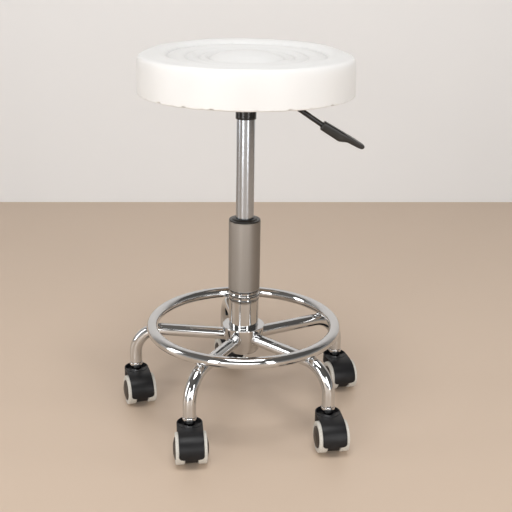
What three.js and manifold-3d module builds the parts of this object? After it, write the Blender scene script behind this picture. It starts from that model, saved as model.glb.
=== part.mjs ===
// A gas-lift work stool: a round cushion over a five-leg chromed base with a foot ring and casters.
// Lengths are millimetres. +Z is up. Everything is built round the column's axis, and the finished
// stool is then moved so that the origin is on the floor, at the middle of its box.
// The gas spring is fully out, and the height lever points along +X.
import * as THREE from "three";
import { mergeVertices } from "three/addons/utils/BufferGeometryUtils.js";
import Module from "manifold-3d";

const wasm = await Module();
wasm.setup();

// Clearances
const seatGap = 0.3; // between pieces that rest on, or are welded to, each other
const runningGap = 0.3; // radial, round shafts and guides
const overrun = 2; // how far a cutting solid passes the face that it cuts
const weldTolerance = 0.001; // points closer than this are one point

// Facets
const columnSegments = 24;
const seatSegments = 48;
const wheelSegments = 20;
const capSegments = 16;
const pinSegments = 10;
const tubeSides = 12;
const boreSides = 8;
const ringSegments = 40;
const legSteps = 13;
const hollowSides = 6;
const hollowSteps = 9;
const arcSteps = 6; // facets of the arc of a caster's web
const fenderSteps = 9; // facets of the arc of a caster's fender
const cornerSteps = 2; // facets of a rounded corner
const plateSteps = 4; // facets of each of the plate's corners
const clipSteps = 8;
const leverSteps = 20;

// Caster wheels
const wheelRadius = 24;
const treadWidth = 13.4;
const treadGap = 19.6; // between the two treads of one caster
const treadShoulder = 1.4;
const tyreBoreRadius = 16.8;
const capDome = 3.3; // how far a wheel's cap stands out past its tyre
const capBlind = 5; // what is left of a wheel's cap beyond the axle's blind bore
const capEdgeShare = 0.85; // radius at which the cap's rounded edge ends, of the cap's radius
const axleRadius = 3;

// Caster hood
const casterTrail = 28; // from the swivel's axis back to the axle
const hoodRadius = 26; // outside of the fender, about the axle
const hoodWidth = 37;
const hoodCorner = 4;
const wheelWellGap = 0.5;
const webRadius = 22;
const webGap = 1; // between the hood's web and each wheel
const collarRadius = 19.5;
const collarRise = 1; // of the collar's top over the fender's crest
const collarDepth = 16;
const collarChamfer = 1.5;
const collarDishRadius = 15;
const collarDishDepth = 2;
const fenderStartDegrees = 60; // about the axle, from the front and up
const fenderEndDegrees = 195.5;
const webFrontDegrees = -10;
const webBackDegrees = 170;

// Caster stem
const stemRadius = 5.5;
const stemSocketDepth = 19.5; // of the stem in the hood
const stemBossRadius = 8.5;
const stemFlangeRise = 5.3; // from the collar's top to the flange
const stemFlangeRadius = 10.7;
const stemFlangeHeight = 4.9;
const stemFlangeChamfer = 1;
const stemTenon = 22; // of the stem inside the leg

// Legs
const legCount = 5;
const firstLegDegrees = 28.2;
const casterSwivelDegrees = [16, 16, 18, 7, 9]; // each caster's trail, turned from -Y towards +X
const legRadius = 10;
const legWall = 1.6;
const legReach = 181;
const legBend = 45;
const legStub = 16; // straight drop under the bend
const legPlugCap = 2; // left over the stem's bore

// Foot ring
const footRingRadius = 147.5;
const footRingTube = 9;

// Hub
const hubTopRadius = 34;
const hubBottomRadius = 25.7;
const hubRim = 3; // height of the rim's upright edge
const hubChamfer = 1.5;
const hubAboveLegs = 19.5; // from the legs' centreline to the hub's top
const hubBelowLegs = 22.5;

// Stand tube of the gas spring
const standRadius = 25;
const standWall = 1.5;
const standExposed = 175.5; // from the hub's top to the tube's top
const standFoot = 4; // how far the tube's foot stands out under the hub
const standFloor = 4; // thickness of the tube's closed foot
const standFootChamfer = 1;
const taperTopRadius = 24.4;
const taperBottomRadius = 22.6;
const grooveRise = 47; // from the hub's top to the rolled grooves
const grooveDepth = 1.5;
const beadDepth = 0.3;
const grooveSpan = 14.5;
const grooveUpShares = [0.14, 0.43, 0.57, 0.74, 0.89]; // heights of the turns between the grooves

// Guide bush in the stand tube's mouth
const bushLength = 80;
const bushLip = 1.7;
const bushLipInset = 0.6;
const bushCrown = 2.4;
const bushCrownRadius = 17.5;

// Gas cylinder
const cylinderRadius = 14;
const cylinderWall = 1.6;
const cylinderExposed = 159.7; // from the stand tube's mouth to the socket
const cylinderHeld = 70.5; // of the cylinder inside the stand tube, fully out
const cylinderFloor = 4;
const cylinderHead = 40; // solid valve head
const cylinderTaper = 0.8; // the cone in the socket narrows by this
const cylinderInSocket = 18.2; // from the socket's mouth to the cylinder's top
const valvePinRadius = 2.5;
const valvePinLength = 14;
const valvePinProud = 5; // of the pin above the cylinder's top

// Piston rod and what is on it
const rodRadius = 5;
const rodProud = 3; // of the rod under the stand tube's foot
const shoulderRadius = 9;
const shoulderHeight = 3.5;
const pistonHeight = 8;
const bearingRadius = 12;
const bearingHeight = 6.3;
const bearingGroove = 1.5;
const bearingRaceShare = 0.33; // height of each race, of the whole bearing
const clipRadius = 8.2;
const clipThickness = 1.2;
const clipOpeningDegrees = 70;
const bufferRadius = 11;
const bufferHeight = 6;
const bufferWaist = 1.5;

// Seat mechanism
const socketRadius = 15.75;
const socketLength = 36.2;
const plateSide = 126;
const plateThickness = 2.5;
const plateCorner = 14;
const dishRadius = 40;
const dishDepth = 5;
const boltSpacing = 92;
const cheekThickness = 3;
const cheekLength = 15;
const cheekDrop = 14;
const pivotReach = 28; // from the column's axis to the lever's pivot
const pivotRadius = 2.5;
const pivotSleeve = 1.9; // wall of the sleeve on the lever
const pivotHead = 1.5;

// Height lever
const leverRadius = 4;
const leverDrop = 8.7; // from the plate's underside to the lever's centreline
const leverInner = 3; // how far the lever passes the column's axis
const leverKnee = 64;
const leverKneeBlend = 10;
const leverSlopeDegrees = 33;
const leverSlopeLength = 63;
const leverElbowBlend = 4;
const leverInGrip = 22;
const leverTravelDegrees = 6;
const leverSlotWidth = 8.8;

// Lever grip
const gripSlopeDegrees = 29;
const gripLength = 72;
const gripBarrel = 15; // thickness of the barrel half
const gripPaddleThickness = 8;
const gripPaddleWidth = 17;
const gripCollar = 11.5;
// Places of the grip's sections along its length, and how far the tip's sections have shrunk.
const gripCollarShares = [0, 0.03];
const gripBarrelShares = [0.09, 0.46];
const gripPaddleShares = [0.56, 0.9];
const gripTipShares = [0.97, 1];
const gripTipSizeShares = [0.78, 0.34];
const gripMouthShare = 0.86;

// Seat board
const boardRadius = 150;
const boardThickness = 12;
const boardEdge = 1.5;
const boardBareRadius = 96; // outside this ring nothing is fastened under the board

// Screws from the plate into the board
const screwRadius = 3;
const screwHeadRadius = 5.5;
const screwHeadHeight = 3.5;
const screwInBoard = 9.5;

// Cushion
const cushionRadius = 162.4;
const cushionHeight = 65.5; // from the board's underside to the rim's crown
const cushionCrownRadius = 128;
const channelRadius = 108;
const channelDepth = 15.7; // of the sewn circle under the rim's crown
const domeDrop = 3.4; // of the middle's top under the rim's crown
const sideTuck = 3.2; // how far the lower edge draws in
const gatherCount = 24;
const gatherDepth = 2;
const gatherReach = 22; // radially, either side of the sewn circle
// Side: how far out between the tucked foot and the full radius, and height over the foot.
const sideOutShares = [0, 0.6, 0.93, 1, 1];
const sideUpShares = [0, 0.03, 0.09, 0.2, 0.4];
// Shoulder: how far in from the full radius towards the crown, and height.
const shoulderInShares = [0.02, 0.093, 0.28, 0.6, 1];
const shoulderUpShares = [0.7, 0.852, 0.925, 0.98, 1];
// Inner flank: how far in from the crown to the sewn circle, and how far down it has fallen.
const flankInShares = [0.27, 0.54, 0.81, 1];
const flankDownShares = [0.08, 0.32, 0.68, 1];
// Middle: how far in from the sewn circle to the axis, and how far up to the dome's top. It lies
// almost flat at first, and then rises to the dome.
const domeInShares = [0.1, 0.4, 0.56, 0.75, 1];
const domeUpShares = [0.06, 0.13, 0.55, 0.85, 1];

// Heights, stacked up from the floor
const axleZ = wheelRadius;
const hoodTopZ = axleZ + hoodRadius + collarRise;
const collarDishZ = hoodTopZ - collarDishDepth;
const flangeBottomZ = hoodTopZ + stemFlangeRise;
const flangeTopZ = flangeBottomZ + stemFlangeHeight;
const legEndZ = flangeTopZ + seatGap;
const bendZ = legEndZ + legStub;
const legZ = bendZ + legBend;
const hubTopZ = legZ + hubAboveLegs;
const hubBottomZ = legZ - hubBelowLegs;
const standBottomZ = hubBottomZ - standFoot;
const standTopZ = hubTopZ + standExposed;
const grooveBottomZ = hubTopZ + grooveRise;
const grooveTopZ = grooveBottomZ + grooveSpan;
const cylinderBottomZ = standTopZ - cylinderHeld;
const socketBottomZ = standTopZ + cylinderExposed;
const cylinderTopZ = socketBottomZ + cylinderInSocket;
const plateBottomZ = socketBottomZ + socketLength;
const plateTopZ = plateBottomZ + plateThickness;
const boardBottomZ = plateTopZ + seatGap;
const boardTopZ = boardBottomZ + boardThickness;
const leverZ = plateBottomZ - leverDrop;
const standFloorZ = standBottomZ + standFloor;
const bearingBottomZ = standFloorZ + seatGap;
const shoulderBottomZ = bearingBottomZ + bearingHeight + seatGap;
const shoulderTopZ = shoulderBottomZ + shoulderHeight;
const bendRadiusFromAxis = legReach - legBend;

// Finishes
const polishedChrome = { color: 0xd9d8d6, roughness: 0.08, metalness: 1 };
const satinNickel = { color: 0xc9bfb2, roughness: 0.3, metalness: 1 };
const satinSteel = { color: 0xd2d4d6, roughness: 0.22, metalness: 1 };
const plainSteel = { color: 0x9a9da0, roughness: 0.4, metalness: 1 };
const blackPaint = { color: 0x17171a, roughness: 0.5, metalness: 0 };
const blackPlastic = { color: 0x242427, roughness: 0.45, metalness: 0 };
const hoodPlastic = { color: 0x2c2c2f, roughness: 0.5, metalness: 0 };
const capPlastic = { color: 0x33281f, roughness: 0.4, metalness: 0 };
const tyreGrey = { color: 0xd6d2c8, roughness: 0.6, metalness: 0 };
const rubberBlack = { color: 0x1c1c1c, roughness: 0.85, metalness: 0 };
const plywood = { color: 0xc8a877, roughness: 0.7, metalness: 0 };
const whiteVinyl = { color: 0xf1f0ed, roughness: 0.45, metalness: 0 };

const radians = THREE.MathUtils.degToRad;

// A closed geometry as a solid that can be joined and cut.
function solidOf(geometry) {
  const bare = geometry.clone();
  bare.deleteAttribute("normal");
  bare.deleteAttribute("uv");
  const merged = mergeVertices(bare, weldTolerance);
  return new wasm.Manifold(
    new wasm.Mesh({
      numProp: 3,
      vertProperties: merged.getAttribute("position").array,
      triVerts: new Uint32Array(merged.index.array),
    }),
  );
}

// A joined or cut solid as a flat-shaded geometry.
function geometryOf(made) {
  const mesh = made.getMesh();
  const indexed = new THREE.BufferGeometry();
  indexed.setAttribute("position", new THREE.BufferAttribute(mesh.vertProperties, 3));
  indexed.setIndex(new THREE.BufferAttribute(mesh.triVerts, 1));
  const flat = indexed.toNonIndexed();
  flat.computeVertexNormals();
  return flat;
}

function joined(first, ...others) {
  return others.reduce((sum, next) => sum.add(solidOf(next)), solidOf(first));
}

function cut(body, ...cutters) {
  return cutters.reduce((rest, cutter) => rest.subtract(solidOf(cutter)), body);
}

// An outline of [radius, height] points, anticlockwise with the radius to the right, turned about Z.
function revolve(outline, segments) {
  const points = outline.map(([radius, height]) => new THREE.Vector2(radius, height));
  return new THREE.LatheGeometry(points, segments).rotateX(Math.PI / 2);
}

// The same for a ring, whose outline closes on itself.
function revolveRing(outline, segments) {
  return revolve([...outline, outline[0]], segments);
}

// A plain round bar along Z between two heights.
function bar(radius, low, high, segments) {
  const outline = [
    [0, low],
    [radius, low],
    [radius, high],
    [0, high],
  ];
  return revolve(outline, segments);
}

// Turns what was made about Z to lie along X, with one of its flats facing down.
function alongX(geometry, segments) {
  return geometry
    .rotateZ(-Math.PI / segments)
    .rotateY(Math.PI / 2)
    .rotateX(Math.PI / 2);
}

// A shape drawn in (y, z), given a width along X, centred on x = 0.
function acrossX(shape, width, arcSegments) {
  return new THREE.ExtrudeGeometry(shape, {
    depth: width,
    bevelEnabled: false,
    curveSegments: arcSegments,
  })
    .translate(0, 0, -width / 2)
    .rotateX(Math.PI / 2)
    .rotateZ(Math.PI / 2);
}

function polygonShape(radius, sides) {
  const corners = Array.from({ length: sides }, (unused, i) => {
    const angle = (2 * Math.PI * (i + 1 / 2)) / sides;
    return new THREE.Vector2(radius * Math.cos(angle), radius * Math.sin(angle));
  });
  return new THREE.Shape(corners);
}

// A round bar along a curve.
function sweep(path, radius, sides, steps) {
  return new THREE.ExtrudeGeometry(polygonShape(radius, sides), {
    steps,
    extrudePath: path,
    bevelEnabled: false,
  });
}

function roundedSquare(side, corner) {
  const half = side / 2;
  const shape = new THREE.Shape();
  shape.absarc(half - corner, half - corner, corner, 0, Math.PI / 2);
  shape.absarc(corner - half, half - corner, corner, Math.PI / 2, Math.PI);
  shape.absarc(corner - half, corner - half, corner, Math.PI, (3 * Math.PI) / 2);
  shape.absarc(half - corner, corner - half, corner, (3 * Math.PI) / 2, 2 * Math.PI);
  return shape;
}

function boxBetween(low, high) {
  const size = high.map((value, i) => value - low[i]);
  const middle = high.map((value, i) => (value + low[i]) / 2);
  return new THREE.BoxGeometry(...size).translate(...middle);
}

const stool = new THREE.Group();

// Adds one named piece to a group.
function place(group, name, geometry, finish) {
  const mesh = new THREE.Mesh(geometry, new THREE.MeshStandardMaterial(finish));
  mesh.name = name;
  group.add(mesh);
  return mesh;
}

// Wheels of a caster. A wheel is made about Z, from its inner face out, then laid along the axle.
const wheelInnerX = treadGap / 2;
const wheelOuterX = wheelInnerX + treadWidth;
const capRadius = tyreBoreRadius - seatGap;
const wheelFlatShare = 1 / Math.cos(Math.PI / wheelSegments); // corner radius over flat radius

function tyre() {
  const rim = wheelRadius * wheelFlatShare;
  const outline = [
    [tyreBoreRadius * wheelFlatShare, wheelInnerX],
    [rim - treadShoulder, wheelInnerX],
    [rim, wheelInnerX + treadShoulder],
    [rim, wheelOuterX - treadShoulder],
    [rim - treadShoulder, wheelOuterX],
    [tyreBoreRadius * wheelFlatShare, wheelOuterX],
  ];
  return alongX(revolveRing(outline, wheelSegments), wheelSegments);
}

function wheelCore() {
  const domeX = wheelOuterX + capDome;
  const outline = [
    [axleRadius + runningGap, wheelInnerX],
    [capRadius, wheelInnerX],
    [capRadius, wheelOuterX - capDome / 2],
    [capRadius * capEdgeShare, wheelOuterX + capDome / 2],
    [0, domeX],
  ];
  const blindX = domeX - capBlind;
  outline.unshift([axleRadius + runningGap, blindX]);
  outline.unshift([0, blindX]);
  return alongX(revolve(outline, capSegments), capSegments);
}

function axle() {
  const reach = wheelOuterX + capDome - capBlind - seatGap;
  return alongX(bar(axleRadius, -reach, reach, pinSegments), pinSegments);
}

// Hood of a caster, in a frame on the swivel's axis, with the wheels trailing along -Y.
const webHalf = treadGap / 2 - webGap;
const wellRadius = wheelRadius * wheelFlatShare + wheelWellGap;

function fenderBlock() {
  const sector = new THREE.Shape();
  sector.moveTo(-casterTrail, axleZ);
  sector.absarc(
    -casterTrail,
    axleZ,
    hoodRadius,
    radians(fenderStartDegrees),
    radians(fenderEndDegrees),
  );
  sector.closePath();
  const bottom = axleZ + hoodRadius * Math.sin(radians(fenderEndDegrees));
  const front = new THREE.Shape();
  const half = hoodWidth / 2;
  front.moveTo(half, hoodTopZ + overrun);
  front.lineTo(-half, hoodTopZ + overrun);
  front.absarc(hoodCorner - half, bottom + hoodCorner, hoodCorner, Math.PI, (3 * Math.PI) / 2);
  front.absarc(half - hoodCorner, bottom + hoodCorner, hoodCorner, (3 * Math.PI) / 2, 2 * Math.PI);
  const depth = casterTrail + hoodRadius + overrun;
  const frontBlock = new THREE.ExtrudeGeometry(front, {
    depth: depth + hoodRadius,
    bevelEnabled: false,
    curveSegments: cornerSteps,
  })
    .rotateX(Math.PI / 2)
    .translate(0, hoodRadius, 0);
  return solidOf(acrossX(sector, hoodWidth, fenderSteps)).intersect(solidOf(frontBlock));
}

function webBlock() {
  const topZ = collarDishZ - collarChamfer;
  const frontY = collarRadius - collarChamfer;
  const web = new THREE.Shape();
  web.moveTo(frontY, topZ);
  web.lineTo(-casterTrail, topZ);
  web.absarc(
    -casterTrail,
    axleZ,
    webRadius,
    radians(webBackDegrees),
    2 * Math.PI + radians(webFrontDegrees),
  );
  web.lineTo(frontY, hoodTopZ - collarDepth);
  web.closePath();
  return acrossX(web, 2 * webHalf, arcSteps);
}

function casterHood() {
  const collar = revolve(
    [
      [0, hoodTopZ - collarDepth],
      [collarRadius, hoodTopZ - collarDepth],
      [collarRadius, hoodTopZ - collarChamfer],
      [collarRadius - collarChamfer, hoodTopZ],
      [collarDishRadius + collarDishDepth, hoodTopZ],
      [collarDishRadius, collarDishZ],
      [0, collarDishZ],
    ],
    columnSegments,
  );
  const wells = [-1, 1].map((side) => {
    const inner = side * webHalf;
    const outer = side * (collarRadius + overrun);
    const well = bar(wellRadius, Math.min(inner, outer), Math.max(inner, outer), columnSegments);
    return alongX(well, columnSegments).translate(0, -casterTrail, axleZ);
  });
  const stemBore = bar(
    stemRadius + runningGap,
    hoodTopZ - stemSocketDepth - seatGap,
    hoodTopZ + overrun,
    pinSegments,
  );
  const axleBore = bar(axleRadius + seatGap, -webHalf - overrun, webHalf + overrun, pinSegments);
  const shell = fenderBlock().add(solidOf(collar)).add(solidOf(webBlock()));
  const bores = [stemBore, alongX(axleBore, pinSegments).translate(0, -casterTrail, axleZ)];
  return geometryOf(cut(shell, ...wells, ...bores));
}

function casterStem() {
  const outline = [
    [0, hoodTopZ - stemSocketDepth],
    [stemRadius, hoodTopZ - stemSocketDepth],
    [stemRadius, collarDishZ + seatGap],
    [stemBossRadius, collarDishZ + seatGap],
    [stemBossRadius, flangeBottomZ],
    [stemFlangeRadius, flangeBottomZ + stemFlangeChamfer],
    [stemFlangeRadius, flangeTopZ - stemFlangeChamfer],
    [stemFlangeRadius - stemFlangeChamfer, flangeTopZ],
    [stemRadius, flangeTopZ],
    [stemRadius, flangeTopZ + stemTenon],
    [0, flangeTopZ + stemTenon],
  ];
  return revolve(outline, pinSegments);
}

function addCaster(number, legAngle, swivelAngle) {
  const caster = new THREE.Group();
  caster.position.set(legReach * Math.cos(legAngle), legReach * Math.sin(legAngle), 0);
  caster.rotation.z = swivelAngle;
  stool.add(caster);
  place(caster, `caster_hood_${number}`, casterHood(), hoodPlastic);
  place(caster, `caster_stem_${number}`, casterStem(), polishedChrome);
  const axleMesh = place(caster, `caster_axle_${number}`, axle(), plainSteel);
  axleMesh.position.set(0, -casterTrail, axleZ);
  for (const [side, turn] of [
    ["right", 0],
    ["left", Math.PI],
  ]) {
    const wheel = new THREE.Group();
    wheel.position.set(0, -casterTrail, axleZ);
    wheel.rotation.z = turn;
    caster.add(wheel);
    place(wheel, `wheel_${side}_${number}`, wheelCore(), capPlastic);
    place(wheel, `tyre_${side}_${number}`, tyre(), tyreGrey);
  }
}

// Centreline of a leg in the (x, z) plane: a level run, a quarter bend of which it may stop short,
// and a straight drop.
class LegPath extends THREE.Curve {
  constructor(startRadius, bendAngle, drop) {
    super();
    this.startRadius = startRadius;
    this.bendAngle = bendAngle;
    this.drop = drop;
    this.run = bendRadiusFromAxis - startRadius;
    this.arc = legBend * bendAngle;
  }

  getPoint(t, target = new THREE.Vector3()) {
    const along = t * (this.run + this.arc + this.drop);
    if (along <= this.run) {
      return target.set(this.startRadius + along, 0, legZ);
    }
    const turned = Math.min((along - this.run) / legBend, this.bendAngle);
    const fallen = Math.max(along - this.run - this.arc, 0);
    return target.set(
      bendRadiusFromAxis + legBend * Math.sin(turned),
      0,
      bendZ + legBend * Math.cos(turned) - fallen,
    );
  }
}

// Radius of the hub's outside at a height.
function hubRadiusAt(height) {
  const share = (height - hubBottomZ) / (hubTopZ - hubRim - hubBottomZ);
  return hubBottomRadius + (hubTopRadius - hubBottomRadius) * share;
}

// Radius of the stand tube's tapered foot at a height.
function taperRadiusAt(height) {
  const share = (height - standBottomZ) / (grooveBottomZ - standBottomZ);
  return taperBottomRadius + (taperTopRadius - taperBottomRadius) * share;
}

function leg() {
  const inside = taperRadiusAt(legZ) - seatGap;
  const outer = sweep(new LegPath(inside, Math.PI / 2, legStub), legRadius, tubeSides, legSteps);
  const plugRise = flangeTopZ + stemTenon + seatGap + legPlugCap - bendZ;
  const hollowEnd = Math.PI / 2 - Math.asin(plugRise / legBend);
  const hollow = sweep(
    new LegPath(inside - overrun, hollowEnd, 0),
    legRadius - legWall,
    hollowSides,
    hollowSteps,
  );
  const stemBore = bar(
    stemRadius + seatGap,
    legEndZ - overrun,
    flangeTopZ + stemTenon + seatGap,
    pinSegments,
  ).translate(legReach, 0, 0);
  const hubSpace = revolve(
    [
      [0, hubBottomZ - overrun],
      [hubRadiusAt(hubBottomZ - overrun) + seatGap, hubBottomZ - overrun],
      [hubTopRadius + seatGap, hubTopZ - hubRim],
      [hubTopRadius + seatGap, hubTopZ + overrun],
      [0, hubTopZ + overrun],
    ],
    columnSegments,
  );
  return cut(solidOf(outer), hollow, stemBore, hubSpace);
}

function addBase() {
  for (let i = 0; i < legCount; i += 1) {
    const angle = radians(firstLegDegrees) + (2 * Math.PI * i) / legCount;
    const mesh = place(stool, `leg_${i + 1}`, geometryOf(leg()), polishedChrome);
    mesh.rotation.z = angle;
    const swivel = radians(casterSwivelDegrees[i % casterSwivelDegrees.length]);
    addCaster(i + 1, angle, swivel);
  }

  const hub = revolveRing(
    [
      [taperRadiusAt(hubBottomZ) + seatGap, hubBottomZ],
      [hubBottomRadius, hubBottomZ],
      [hubTopRadius, hubTopZ - hubRim],
      [hubTopRadius, hubTopZ - hubChamfer],
      [hubTopRadius - hubChamfer, hubTopZ],
      [taperRadiusAt(hubTopZ) + seatGap, hubTopZ],
    ],
    columnSegments,
  );
  place(stool, "hub", hub, polishedChrome);

  // The ring lies on the outside of the legs' bends.
  const outward = Math.max(footRingRadius - bendRadiusFromAxis, 0);
  const centres = legBend + legRadius + seatGap + footRingTube;
  const ring = new THREE.TorusGeometry(footRingRadius, footRingTube, tubeSides, ringSegments);
  const footRing = place(stool, "foot_ring", ring, polishedChrome);
  footRing.position.z = bendZ + Math.sqrt(centres * centres - outward * outward);
}

// The gas spring: a stand tube with rolled grooves, a guide bush, a cylinder and the rod inside.
function addGasSpring() {
  const innerRadius = standRadius - standWall;
  const grooveRadius = standRadius - grooveDepth;
  const lowerInner = grooveRadius - standWall;
  const rodHole = rodRadius + seatGap;
  const beadRadius = standRadius - beadDepth;
  const grooveTurns = [taperTopRadius - beadDepth, beadRadius, beadRadius, grooveRadius, beadRadius];
  const standTube = revolveRing(
    [
      [rodHole, standBottomZ],
      [taperBottomRadius - standFootChamfer, standBottomZ],
      [taperRadiusAt(standBottomZ + standFootChamfer), standBottomZ + standFootChamfer],
      [taperTopRadius, grooveBottomZ],
      ...grooveTurns.map((radius, i) => [radius, grooveBottomZ + grooveUpShares[i] * grooveSpan]),
      [standRadius, grooveTopZ],
      [standRadius, standTopZ],
      [innerRadius, standTopZ],
      [innerRadius, grooveTopZ],
      [lowerInner, grooveBottomZ + grooveSpan / 2],
      [taperBottomRadius - standWall, standFloorZ],
      [rodHole, standFloorZ],
    ],
    columnSegments,
  );
  place(stool, "stand_tube", standTube, satinNickel);

  const lipZ = standTopZ + seatGap;
  const bushRadius = innerRadius - seatGap;
  const topBushing = revolveRing(
    [
      [cylinderRadius + runningGap, standTopZ - bushLength],
      [bushRadius, standTopZ - bushLength],
      [bushRadius, lipZ],
      [standRadius - bushLipInset, lipZ],
      [standRadius - bushLipInset, lipZ + bushLip],
      [bushCrownRadius, lipZ + bushLip + bushCrown],
      [cylinderRadius + runningGap, lipZ + bushLip + bushCrown],
    ],
    columnSegments,
  );
  place(stool, "top_bushing", topBushing, blackPlastic);

  const boreRadius = cylinderRadius - cylinderWall;
  const pinBore = valvePinRadius + runningGap;
  const pinFloorZ = cylinderTopZ + valvePinProud - valvePinLength - valveTravel - seatGap;
  const cylinderOutline = [
    [rodRadius + runningGap, cylinderBottomZ],
    [cylinderRadius, cylinderBottomZ],
    [cylinderRadius, socketBottomZ - cylinderInSocket / 2],
    [cylinderRadius - cylinderTaper, cylinderTopZ],
    [pinBore, cylinderTopZ],
    [pinBore, pinFloorZ],
    [0, pinFloorZ],
  ];
  const chamberOutline = [
    [0, cylinderTopZ - cylinderHead],
    [boreRadius, cylinderTopZ - cylinderHead],
    [boreRadius, cylinderBottomZ + cylinderFloor],
    [rodRadius + runningGap, cylinderBottomZ + cylinderFloor],
  ];
  const cylinder = revolve([...chamberOutline, ...cylinderOutline], columnSegments);
  place(stool, "gas_cylinder", cylinder, satinSteel);

  const pinTopZ = cylinderTopZ + valvePinProud;
  const valvePin = bar(valvePinRadius, pinTopZ - valvePinLength, pinTopZ, pinSegments);
  place(stool, "valve_pin", valvePin, plainSteel);

  const pistonBottomZ = cylinderBottomZ + cylinderFloor + seatGap;
  const pistonRod = revolve(
    [
      [0, standBottomZ - rodProud],
      [rodRadius, standBottomZ - rodProud],
      [rodRadius, shoulderBottomZ],
      [shoulderRadius, shoulderBottomZ],
      [shoulderRadius, shoulderTopZ],
      [rodRadius, shoulderTopZ],
      [rodRadius, pistonBottomZ],
      [boreRadius - runningGap, pistonBottomZ],
      [boreRadius - runningGap, pistonBottomZ + pistonHeight],
      [0, pistonBottomZ + pistonHeight],
    ],
    pinSegments,
  );
  place(stool, "piston_rod", pistonRod, satinSteel);

  const bearingTopZ = bearingBottomZ + bearingHeight;
  const raceHeight = bearingHeight * bearingRaceShare;
  const thrustBearing = revolveRing(
    [
      [rodRadius + runningGap, bearingBottomZ],
      [bearingRadius, bearingBottomZ],
      [bearingRadius, bearingBottomZ + raceHeight],
      [bearingRadius - bearingGroove, bearingBottomZ + raceHeight],
      [bearingRadius - bearingGroove, bearingTopZ - raceHeight],
      [bearingRadius, bearingTopZ - raceHeight],
      [bearingRadius, bearingTopZ],
      [rodRadius + runningGap, bearingTopZ],
    ],
    pinSegments,
  );
  place(stool, "thrust_bearing", thrustBearing, plainSteel);

  const buffer = revolveRing(
    [
      [rodRadius + seatGap, shoulderTopZ + seatGap],
      [bufferRadius, shoulderTopZ + seatGap],
      [bufferRadius - bufferWaist, shoulderTopZ + seatGap + bufferHeight / 2],
      [bufferRadius, shoulderTopZ + seatGap + bufferHeight],
      [rodRadius + seatGap, shoulderTopZ + seatGap + bufferHeight],
    ],
    pinSegments,
  );
  place(stool, "bump_rubber", buffer, rubberBlack);

  const clip = new THREE.Shape();
  const clipStart = radians(clipOpeningDegrees / 2);
  clip.absarc(0, 0, clipRadius, clipStart, 2 * Math.PI - clipStart);
  clip.absarc(0, 0, rodRadius + seatGap, 2 * Math.PI - clipStart, clipStart, true);
  const clipBottomZ = standBottomZ - seatGap - clipThickness;
  const retainingClip = new THREE.ExtrudeGeometry(clip, {
    depth: clipThickness,
    bevelEnabled: false,
    curveSegments: clipSteps,
  }).translate(0, 0, clipBottomZ);
  place(stool, "retaining_clip", retainingClip, plainSteel);
}

// How far the lever pushes the valve's pin at the end of its travel.
const valveTravel = pivotReach * radians(leverTravelDegrees);

function screwPlaces() {
  const half = boltSpacing / 2;
  return [
    [half, half],
    [-half, half],
    [-half, -half],
    [half, -half],
  ];
}

// The pressed plate with its dished middle, the socket for the cylinder and the lever's cheeks.
function seatMechanism() {
  const plate = new THREE.ExtrudeGeometry(roundedSquare(plateSide, plateCorner), {
    depth: plateThickness,
    bevelEnabled: false,
    curveSegments: plateSteps,
  }).translate(0, 0, plateBottomZ);
  const dish = revolve(
    [
      [0, plateBottomZ - dishDepth],
      [socketRadius, plateBottomZ - dishDepth],
      [dishRadius, plateBottomZ + plateThickness / 2],
      [0, plateBottomZ + plateThickness / 2],
    ],
    columnSegments,
  );
  const socket = bar(socketRadius, socketBottomZ, plateBottomZ + plateThickness / 2, columnSegments);
  const cheekInner = leverSlotWidth / 2;
  const cheeks = [-1, 1].map((side) => {
    const inner = side * cheekInner;
    const outer = side * (cheekInner + cheekThickness);
    return boxBetween(
      [pivotReach - cheekLength / 2, Math.min(inner, outer), plateBottomZ - cheekDrop],
      [pivotReach + cheekLength / 2, Math.max(inner, outer), plateBottomZ + plateThickness / 2],
    );
  });
  const taperRadius = cylinderRadius - cylinderTaper;
  const bore = revolve(
    [
      [0, socketBottomZ - overrun],
      [cylinderRadius + seatGap, socketBottomZ - overrun],
      [taperRadius + seatGap + cylinderTaper / 2, cylinderTopZ],
      [taperRadius + seatGap + cylinderTaper / 2, plateTopZ + overrun],
      [0, plateTopZ + overrun],
    ],
    columnSegments,
  );
  const slotHalf = leverSlotWidth / 2;
  const slotRoom = leverRadius + valveTravel + seatGap;
  const slot = boxBetween(
    [0, -slotHalf, leverZ - slotRoom],
    [pivotReach + cheekLength, slotHalf, leverZ + slotRoom],
  );
  const pivotBore = bar(
    pivotRadius + runningGap,
    -cheekInner - cheekThickness - overrun,
    cheekInner + cheekThickness + overrun,
    pinSegments,
  )
    .rotateX(Math.PI / 2)
    .translate(pivotReach, 0, leverZ);
  const screwHoles = screwPlaces().map(([x, y]) =>
    bar(screwRadius + seatGap, plateBottomZ - overrun, plateTopZ + overrun, pinSegments).translate(
      x,
      y,
      0,
    ),
  );
  const body = joined(plate, dish, socket, ...cheeks);
  return geometryOf(cut(body, bore, slot, pivotBore, ...screwHoles));
}

// Corner points of the lever's centreline in the (x, z) plane.
function leverCorners() {
  const slope = radians(leverSlopeDegrees);
  const gripSlope = radians(gripSlopeDegrees);
  const knee = new THREE.Vector3(leverKnee, 0, leverZ);
  const down = new THREE.Vector3(Math.cos(slope), 0, -Math.sin(slope));
  const gripDirection = new THREE.Vector3(Math.cos(gripSlope), 0, -Math.sin(gripSlope));
  const elbow = knee.clone().addScaledVector(down, leverSlopeLength);
  return { knee, down, elbow, gripDirection };
}

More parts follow.
